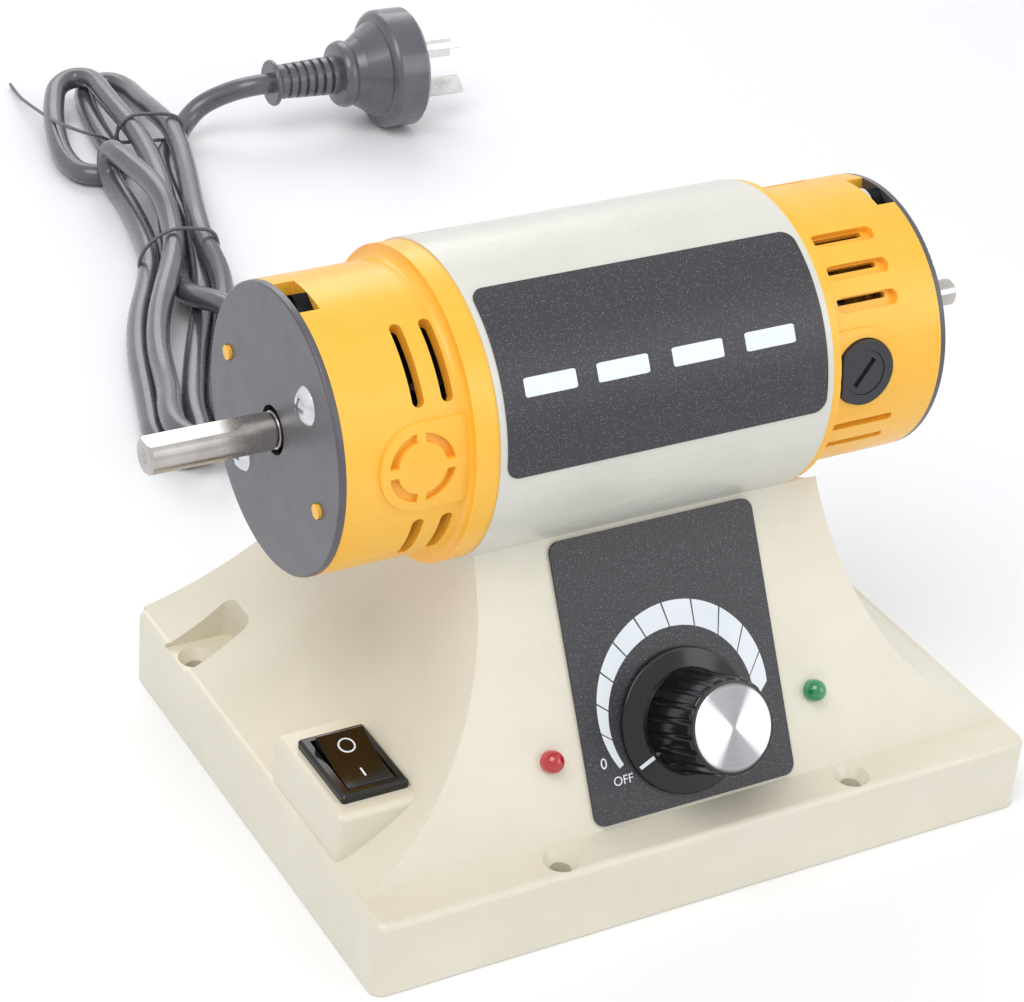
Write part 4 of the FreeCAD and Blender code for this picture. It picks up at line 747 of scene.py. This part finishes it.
@dataclass
class MainsLead:
    """The lead from its strain relief, through the tied hank, to the plug, as one smooth cord.

    Points of the hank are (along, across, height) in millimetres from its own line.
    """

    radius: float = 3.25
    gland: tuple[float, float] = (15.0, 26.0)
    gland_length: float = 26.0
    rear_lean: float = 28.0
    rear_foot: tuple[float, float] = (62.0, 18.0)
    hank_foot: tuple[float, float] = (10.0, 250.0)
    heading: float = 75.9
    plug_tip: tuple[float, float, float] = (71.1, 317.3, 18.82)
    plug_heading: float = -2.0
    lead_run: float = 28.0
    plug_run: float = 6.0
    descent: tuple = ((14.5, 138.0, 42.5), (10.5, 164.0, 26.0), (3.0, 185.0, 14.5))
    turns: tuple = (
        # Down to the hank, under the front strand, and up.
        ((-53, 4, 14), (-40, -2.3, 9.6), (-27, -3, 5), (-10, -1.6, 4.4), (6, -0.4, 5.6), (20, 0.6, 9.2)),
        # Left loop and back.
        ((34, 0.7, 10.4), (54, 0, 10.4), (70, -1.9, 10.4), (84, -5, 10.4), (97, -7.4, 10.4),
         (108, -9, 10.1), (111.5, -15, 9.2), (107, -20.5, 8.2), (98, -22.6, 7.2), (84, -24.4, 6),
         (69, -24.6, 4.6), (60, -23, 3.6)),
        # Turn under the front fold.
        ((52.5, -19.8, 3.4), (51.2, -12.5, 3.4), (56.5, -7.6, 3.4), (65, -7.8, 3.4), (74, -9.4, 3.4)),
        # Right loop and back over the waist.
        ((86, -10.8, 3.4), (100, -11.8, 3.4), (113, -11.4, 3.5), (119, -6.6, 3.6), (118.5, -0.2, 3.9),
         (110, 3.4, 4.6), (98, 4.8, 6.4), (87, 6.6, 8.4), (70, 9.8, 10.4), (55, 10.4, 10.4),
         (38, 9.6, 10.4), (20, 8, 11), (4, 6.8, 11.6), (-10, 6.4, 11.2)),
        # Right side, toward the machine.
        ((-24, 9.4, 7.4), (-40, 7.5, 3.8), (-58, 3.2, 3.4), (-76, -0.6, 3.4), (-92, -3.5, 3.4)),
        # Upper near turn.
        ((-104, -2.8, 4.5), (-114, -3.4, 7.6), (-120.5, -7.6, 10), (-120.5, -13.8, 10.6),
         (-114, -18.4, 10.6), (-103, -18.6, 10)),
        # Front strand, over the waist.
        ((-92, -16.8, 9.2), (-80, -16.2, 8.2), (-67, -15.7, 8.4), (-52, -13.3, 9.4), (-38, -9.3, 11),
         (-24, -5, 11.6), (-12, -2.2, 11.9), (0, -1.6, 13.4), (9, -2, 15.6), (21, -4.4, 16.2),
         (31, -7.6, 15.8)),
        # Front fold.
        ((40, -10.6, 15.6), (46.6, -12.4, 14.6), (48.8, -13, 9.6), (46, -12.2, 4.4), (36, -9.8, 3.4)),
        # Left side, toward the machine.
        ((21, -8.5, 3.8), (5, -7.9, 4.4), (-8, -8.4, 4.4), (-21.6, -11.5, 3.6), (-41, -17.1, 3.4),
         (-59.9, -20, 3.4), (-78.3, -21, 3.4), (-94.5, -22, 3.4)),
        # Lower near turn.
        ((-104, -22.6, 3.4), (-112.5, -21, 3.4), (-116, -16, 3.4), (-112.5, -11.2, 3.4)),
        # Back through the waist along the bench.
        ((-104, -10, 3.4), (-92, -10.2, 3.4), (-76, -7.4, 3.4), (-58, -3.6, 3.4), (-40, 0.9, 3.4),
         (-24, 3.8, 3.6), (-8, 5.6, 4.4), (8, 6.6, 4.4), (20, 6.2, 3.8), (38, 5, 3.5), (54, 5, 3.5),
         (64, 7.4, 3.5)),
        # Up to the plug.
        ((71.5, 11.4, 3.8), (78.5, 15.4, 6.4), (82.5, 20.8, 10.8), (81.5, 29, 15.4)))

    def spot(self, along: float, across: float, height: float) -> Vector:
        """A point from the hank's own line, in millimetres."""
        turn = math.radians(self.heading)
        return Vector((self.hank_foot[0] + along * math.cos(turn) + across * math.sin(turn),
                       self.hank_foot[1] + along * math.sin(turn) - across * math.cos(turn), height))

    def exit(self) -> tuple[Vector, Vector]:
        """Outer end of the strain relief and the direction of the lead there."""
        lean = math.radians(self.rear_lean)
        way = Vector((0, math.cos(lean), math.sin(lean)))
        x, z = self.gland
        y, low = self.rear_foot
        return Vector((x, y - (z - low) * math.tan(lean), z)) + way * self.gland_length, way

    def route(self) -> list[Vector]:
        """All control points from the strain relief to the plug, in millimetres."""
        tip, way = self.exit()
        points = [tip, tip + way * self.lead_run, *(Vector(place) for place in self.descent)]
        for turn in self.turns:
            points += [self.spot(*place) for place in turn]
        end = Vector(self.plug_tip)
        turn = math.radians(self.plug_heading)
        return points + [end - Vector((math.cos(turn), math.sin(turn), 0)) * self.plug_run, end]

    def build(self, finish: bpy.types.Material, ties: bpy.types.Object) -> bpy.types.Object:
        """Args:
            finish: The sheath's material.
            ties: The two wires that hold the hank together. Not used.

        Returns:
            The cord's object.
        """
        points = self.route()
        piece = link_curve("mains_lead", [points], self.radius, finish)
        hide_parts("cord_lead", "cord_hank", "cord_tail")
        return piece


@dataclass
class TieWires:
    """Two soft wires twisted round the hank, the far one with a long free end."""

    lead: MainsLead
    radius: float = 0.55
    near: tuple = ((-13.0, -8.4, 0.9), (-13.0, -12.2, 2.6), (-12.6, -12.6, 7.6), (-12.2, -9.4, 12.6),
                   (-12.0, -3.6, 16.4), (-12.0, 2.6, 16.3), (-11.6, 9.0, 15.2), (-11.4, 10.8, 10.4),
                   (-11.8, 10.2, 4.4), (-12.4, 7.6, 0.9), (-12.8, 0.0, 0.8))
    far: tuple = ((68.0, -7.8, 6.4), (69.0, -6.4, 11.6), (70.0, -2.2, 14.6), (70.4, 2.6, 14.4),
                  (70.0, 7.6, 14.6), (69.6, 12.6, 13.4), (69.0, 14.2, 9.0), (68.4, 12.0, 5.6),
                  (68.0, 6.8, 6.6), (67.8, 2.0, 6.4), (67.8, -3.4, 6.2))
    free: tuple = ((10.3, 308.3, 14.0), (6.3, 312.8, 14.0), (4.2, 323.9, 12.0), (5.4, 337.1, 8.0),
                   (6.4, 356.9, 4.0), (6.9, 369.0, 2.0), (8.6, 380.0, 1.0))

    def build(self, finish: bpy.types.Material) -> bpy.types.Object:
        """Make the wires in place of the CAD's.

        Args:
            finish: The wire's material.

        Returns:
            The wires' object.
        """
        near = [self.lead.spot(*place) for place in self.near]
        far = [self.lead.spot(*place) for place in self.far]
        loose = [far[0], *(Vector(place) for place in self.free)]
        piece = link_curve("tie_wires", [near + near[:2], far + far[:2], loose], self.radius, finish)
        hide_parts("cord_ties")
        return piece


@dataclass
class Studio:
    """Pale floor, soft lamps and the camera."""

    camera_mm: tuple[float, float, float] = (-304.952, -459.960, 401.475)
    right: tuple[float, float, float] = (0.872511, -0.482505, 0.076897)
    down: tuple[float, float, float] = (-0.197069, -0.491546, -0.848261)
    ahead: tuple[float, float, float] = (0.447089, 0.724963, -0.523966)
    focal_px: float = 2959.773
    frame_px: float = 1024.0
    sensor: float = 36.0
    floor_size: float = 30.0
    floor_drop: float = 0.0002
    aim: tuple[float, float, float] = (0.0, 0.03, 0.06)
    lamps: tuple = (("key", (-0.55, -0.35, 1.25), 0.9, 9.0), ("fill", (0.9, -1.0, 0.7), 0.9, 4.0),
                    ("back", (0.3, 1.2, 0.9), 0.8, 4.0))
    sky: float = 0.62

    def camera(self) -> None:
        """Place the camera as the photograph's."""
        data = bpy.data.cameras.new("camera")
        data.sensor_width = self.sensor
        data.sensor_fit = "HORIZONTAL"
        data.lens = self.focal_px * self.sensor / self.frame_px
        data.clip_start = 0.01
        data.clip_end = 100.0
        view = bpy.data.objects.new("camera", data)
        axes = Matrix((self.right, [-c for c in self.down], [-c for c in self.ahead])).transposed()
        view.matrix_world = Matrix.Translation(Vector(self.camera_mm) * MM) @ axes.to_4x4()
        bpy.context.scene.collection.objects.link(view)
        bpy.context.scene.camera = view

    def lamp(self, name: str, at: tuple[float, float, float], size: float, power: float) -> None:
        """Add one soft lamp aimed at the machine.

        Args:
            name: Name of the lamp.
            at: Its place in metres.
            size: Its side in metres.
            power: Its power in watts.
        """
        data = bpy.data.lights.new(name, "AREA")
        data.shape = "SQUARE"
        data.size = size
        data.energy = power
        lamp = bpy.data.objects.new(name, data)
        lamp.location = at
        aim = Vector(self.aim) - Vector(at)
        lamp.rotation_euler = aim.to_track_quat("-Z", "Y").to_euler()
        bpy.context.scene.collection.objects.link(lamp)

    def floor(self) -> None:
        """Lay the pale floor."""
        shape = bmesh.new()
        bmesh.ops.create_grid(shape, x_segments=1, y_segments=1, size=self.floor_size / 2)
        mesh = bpy.data.meshes.new("floor")
        shape.to_mesh(mesh)
        shape.free()
        floor = bpy.data.objects.new("floor", mesh)
        bpy.context.scene.collection.objects.link(floor)
        material, _, shader, _ = new_material("floor_white")
        shader.inputs["Base Color"].default_value = linear("FCFCFD")
        shader.inputs["Roughness"].default_value = 0.55
        shader.inputs["Specular IOR Level"].default_value = 0.3
        mesh.materials.append(material)
        floor.location = (0, 0, -self.floor_drop)

    def world(self) -> None:
        """Light the scene evenly, with a plain white background for the camera."""
        world = bpy.data.worlds.new("studio")
        world.use_nodes = True
        bpy.context.scene.world = world
        tree = world.node_tree
        tree.nodes.clear()
        path = add(tree, "LightPath")
        soft = add(tree, "Background", {"Color": linear("F2F4F8"), "Strength": self.sky})
        plain = add(tree, "Background", {"Color": (1.0, 1.0, 1.0, 1.0), "Strength": 1.0})
        either = add(tree, "Math", {"operation": "MAXIMUM"},
                     {0: path.outputs["Is Camera Ray"], 1: path.outputs["Is Glossy Ray"]})
        mix = add(tree, "MixShader", links={0: either.outputs["Value"], 1: soft.outputs[0],
                                            2: plain.outputs[0]})
        add(tree, "OutputWorld", links={"Surface": mix.outputs[0]})

    def build(self) -> None:
        """Set up the whole studio."""
        self.camera()
        self.floor()
        self.world()
        for name, at, size, power in self.lamps:
            self.lamp(name, at, size, power)
        bpy.context.scene.view_settings.view_transform = "Standard"


@dataclass
class Dressing:
    """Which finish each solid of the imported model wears."""

    knob_cap_centre: tuple[float, float, float]
    made: dict = field(default_factory=dict)

    def plan(self) -> dict[Any, tuple[str, ...]]:
        """Finishes and the nodes that wear them."""
        return {
            HammeredEnamel("ivory_hammered_enamel", ("DFD9C6", "E4DECC")): ("base_casting",),
            HammeredEnamel("pale_hammered_enamel", ("D6D5CB", "DCDBD1"), 1.9, 0.2): ("motor_tube",),
            MouldedPlastic("amber_abs", ("FFBE3C", "FFC448"), (0.26, 0.34), glow=0.12):
                ("left_housing", "right_housing"),
            SatinBlack("satin_black_lacquer"): ("left_disc", "right_disc"),
            MouldedPlastic("flat_black_paint", ("1E1E20", "28282A"), (0.5, 0.6)): ("bottom_cover",),
            SpeckledFilm("speckled_label_film"): ("motor_label", "dial_plate"),
            MouldedPlastic("gloss_black_phenolic", ("0A0A0B", "0E0E10"), (0.1, 0.16)):
                ("knob_body", "switch_rocker", "switch_housing"),
            MouldedPlastic("charcoal_nylon", ("2A2A2E", "303035"), (0.36, 0.44)):
                ("brush_holders", "brush_caps", "cooling_fan"),
            SpunFace("spun_aluminium", self.knob_cap_centre, tuple(PANEL.to_3x3().col[2])): ("knob_cap",),
            TurnedMetal("drawn_aluminium", ("B9BABD", "C4C5C8"), Heading.Z): ("triac_heatsink",),
            TurnedMetal("ground_steel", ("B2AEAA", "C2BEBA"), Heading.X): ("spindle", "pot_shaft"),
            TurnedMetal("bearing_steel", ("A8A9AC", "BBBCBF"), Heading.X, 0.2, (0.12, 0.2)):
                ("left_bearing_outer", "left_bearing_inner", "right_bearing_outer", "right_bearing_inner"),
            PlatedMetal("bright_zinc", ("C9CBCF", "DADCDF")):
                ("left_disc_screws", "right_disc_screws", "tie_washers", "saddle_screws", "saddle_nuts",
                 "cover_screws", "pot_nut"),
            PlatedMetal("nickel_plate", ("BDB9B0", "CBC7BE")): ("pot_body", "brush_springs"),
            PlatedMetal("tinned_brass", ("B99B5F", "CDB37B")): ("switch_terminals",),
            PlatedMetal("plug_nickel", ("D9D8D6", "E6E5E3"), (0.2, 0.3)): ("plug_blades",),
            PlatedMetal("blackened_steel", ("1B1B1D", "2A2A2C"), (0.3, 0.45)): ("tie_bolts", "tie_nuts"),
            PlatedMetal("turned_copper", ("A8603A", "BE7750"), (0.25, 0.4)): ("commutator",),
            LampLens("red_lens", "BE0814", "E63A44"): ("led_red",),
            LampLens("green_lens", "0E8A4C", "44C088"): ("led_green",),
            SoftSheath("grey_pvc"): ("cord_gland", "cord_lead", "cord_hank", "cord_tail", "plug_body"),
            MouldedPlastic("tie_wire", ("55565A", "66676B"), (0.25, 0.35)): ("cord_ties",),
            MouldedPlastic("board_lacquer", ("17472B", "1E5533"), (0.3, 0.4)): ("control_board",),
            MouldedPlastic("ochre_epoxy", ("B98A22", "C4962E"), (0.35, 0.45)): ("suppression_capacitor",),
            MouldedPlastic("pressed_carbon", ("262628", "303033"), (0.5, 0.6)): ("brushes",),
            StackedSheet("stacked_sheet"): ("stator_core", "armature_core"),
            WoundWire("wound_wire"): ("field_coils", "armature_winding"),
        }

    def build(self) -> None:
        """Put each finish on its nodes."""
        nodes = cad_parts
        for finish, names in self.plan().items():
            material = finish.make()
            self.made[finish.name] = material
            for name in names:
                mesh = nodes[name].data
                mesh.materials.clear()
                mesh.materials.append(material)
        LOG.info("dressed %d nodes", sum(len(names) for names in self.plan().values()))


def centre_of(node: str) -> tuple[float, float, float]:
    """Middle of a node's box, in millimetres."""
    low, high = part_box(node)
    middle = (low + high) / 2 / MM
    return middle.x, middle.y, middle.z


def main() -> None:
    """Build every sub-assembly in order."""
    logging.basicConfig(level=logging.INFO, format="%(message)s")
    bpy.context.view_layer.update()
    Studio().build()
    ink = MouldedPlastic("white_ink", ("E8EEF4", "EEF3F8"), (0.4, 0.5)).make()
    dressing = Dressing(centre_of("knob_cap"))
    dressing.build()
    SpeedDial().build(ink)
    RockerMarks().build(ink)
    TubeLabel().build(ink)
    lead = MainsLead()
    lead.build(dressing.made["grey_pvc"], TieWires(lead).build(dressing.made["tie_wire"]))


if __name__ == "__main__":
    main()
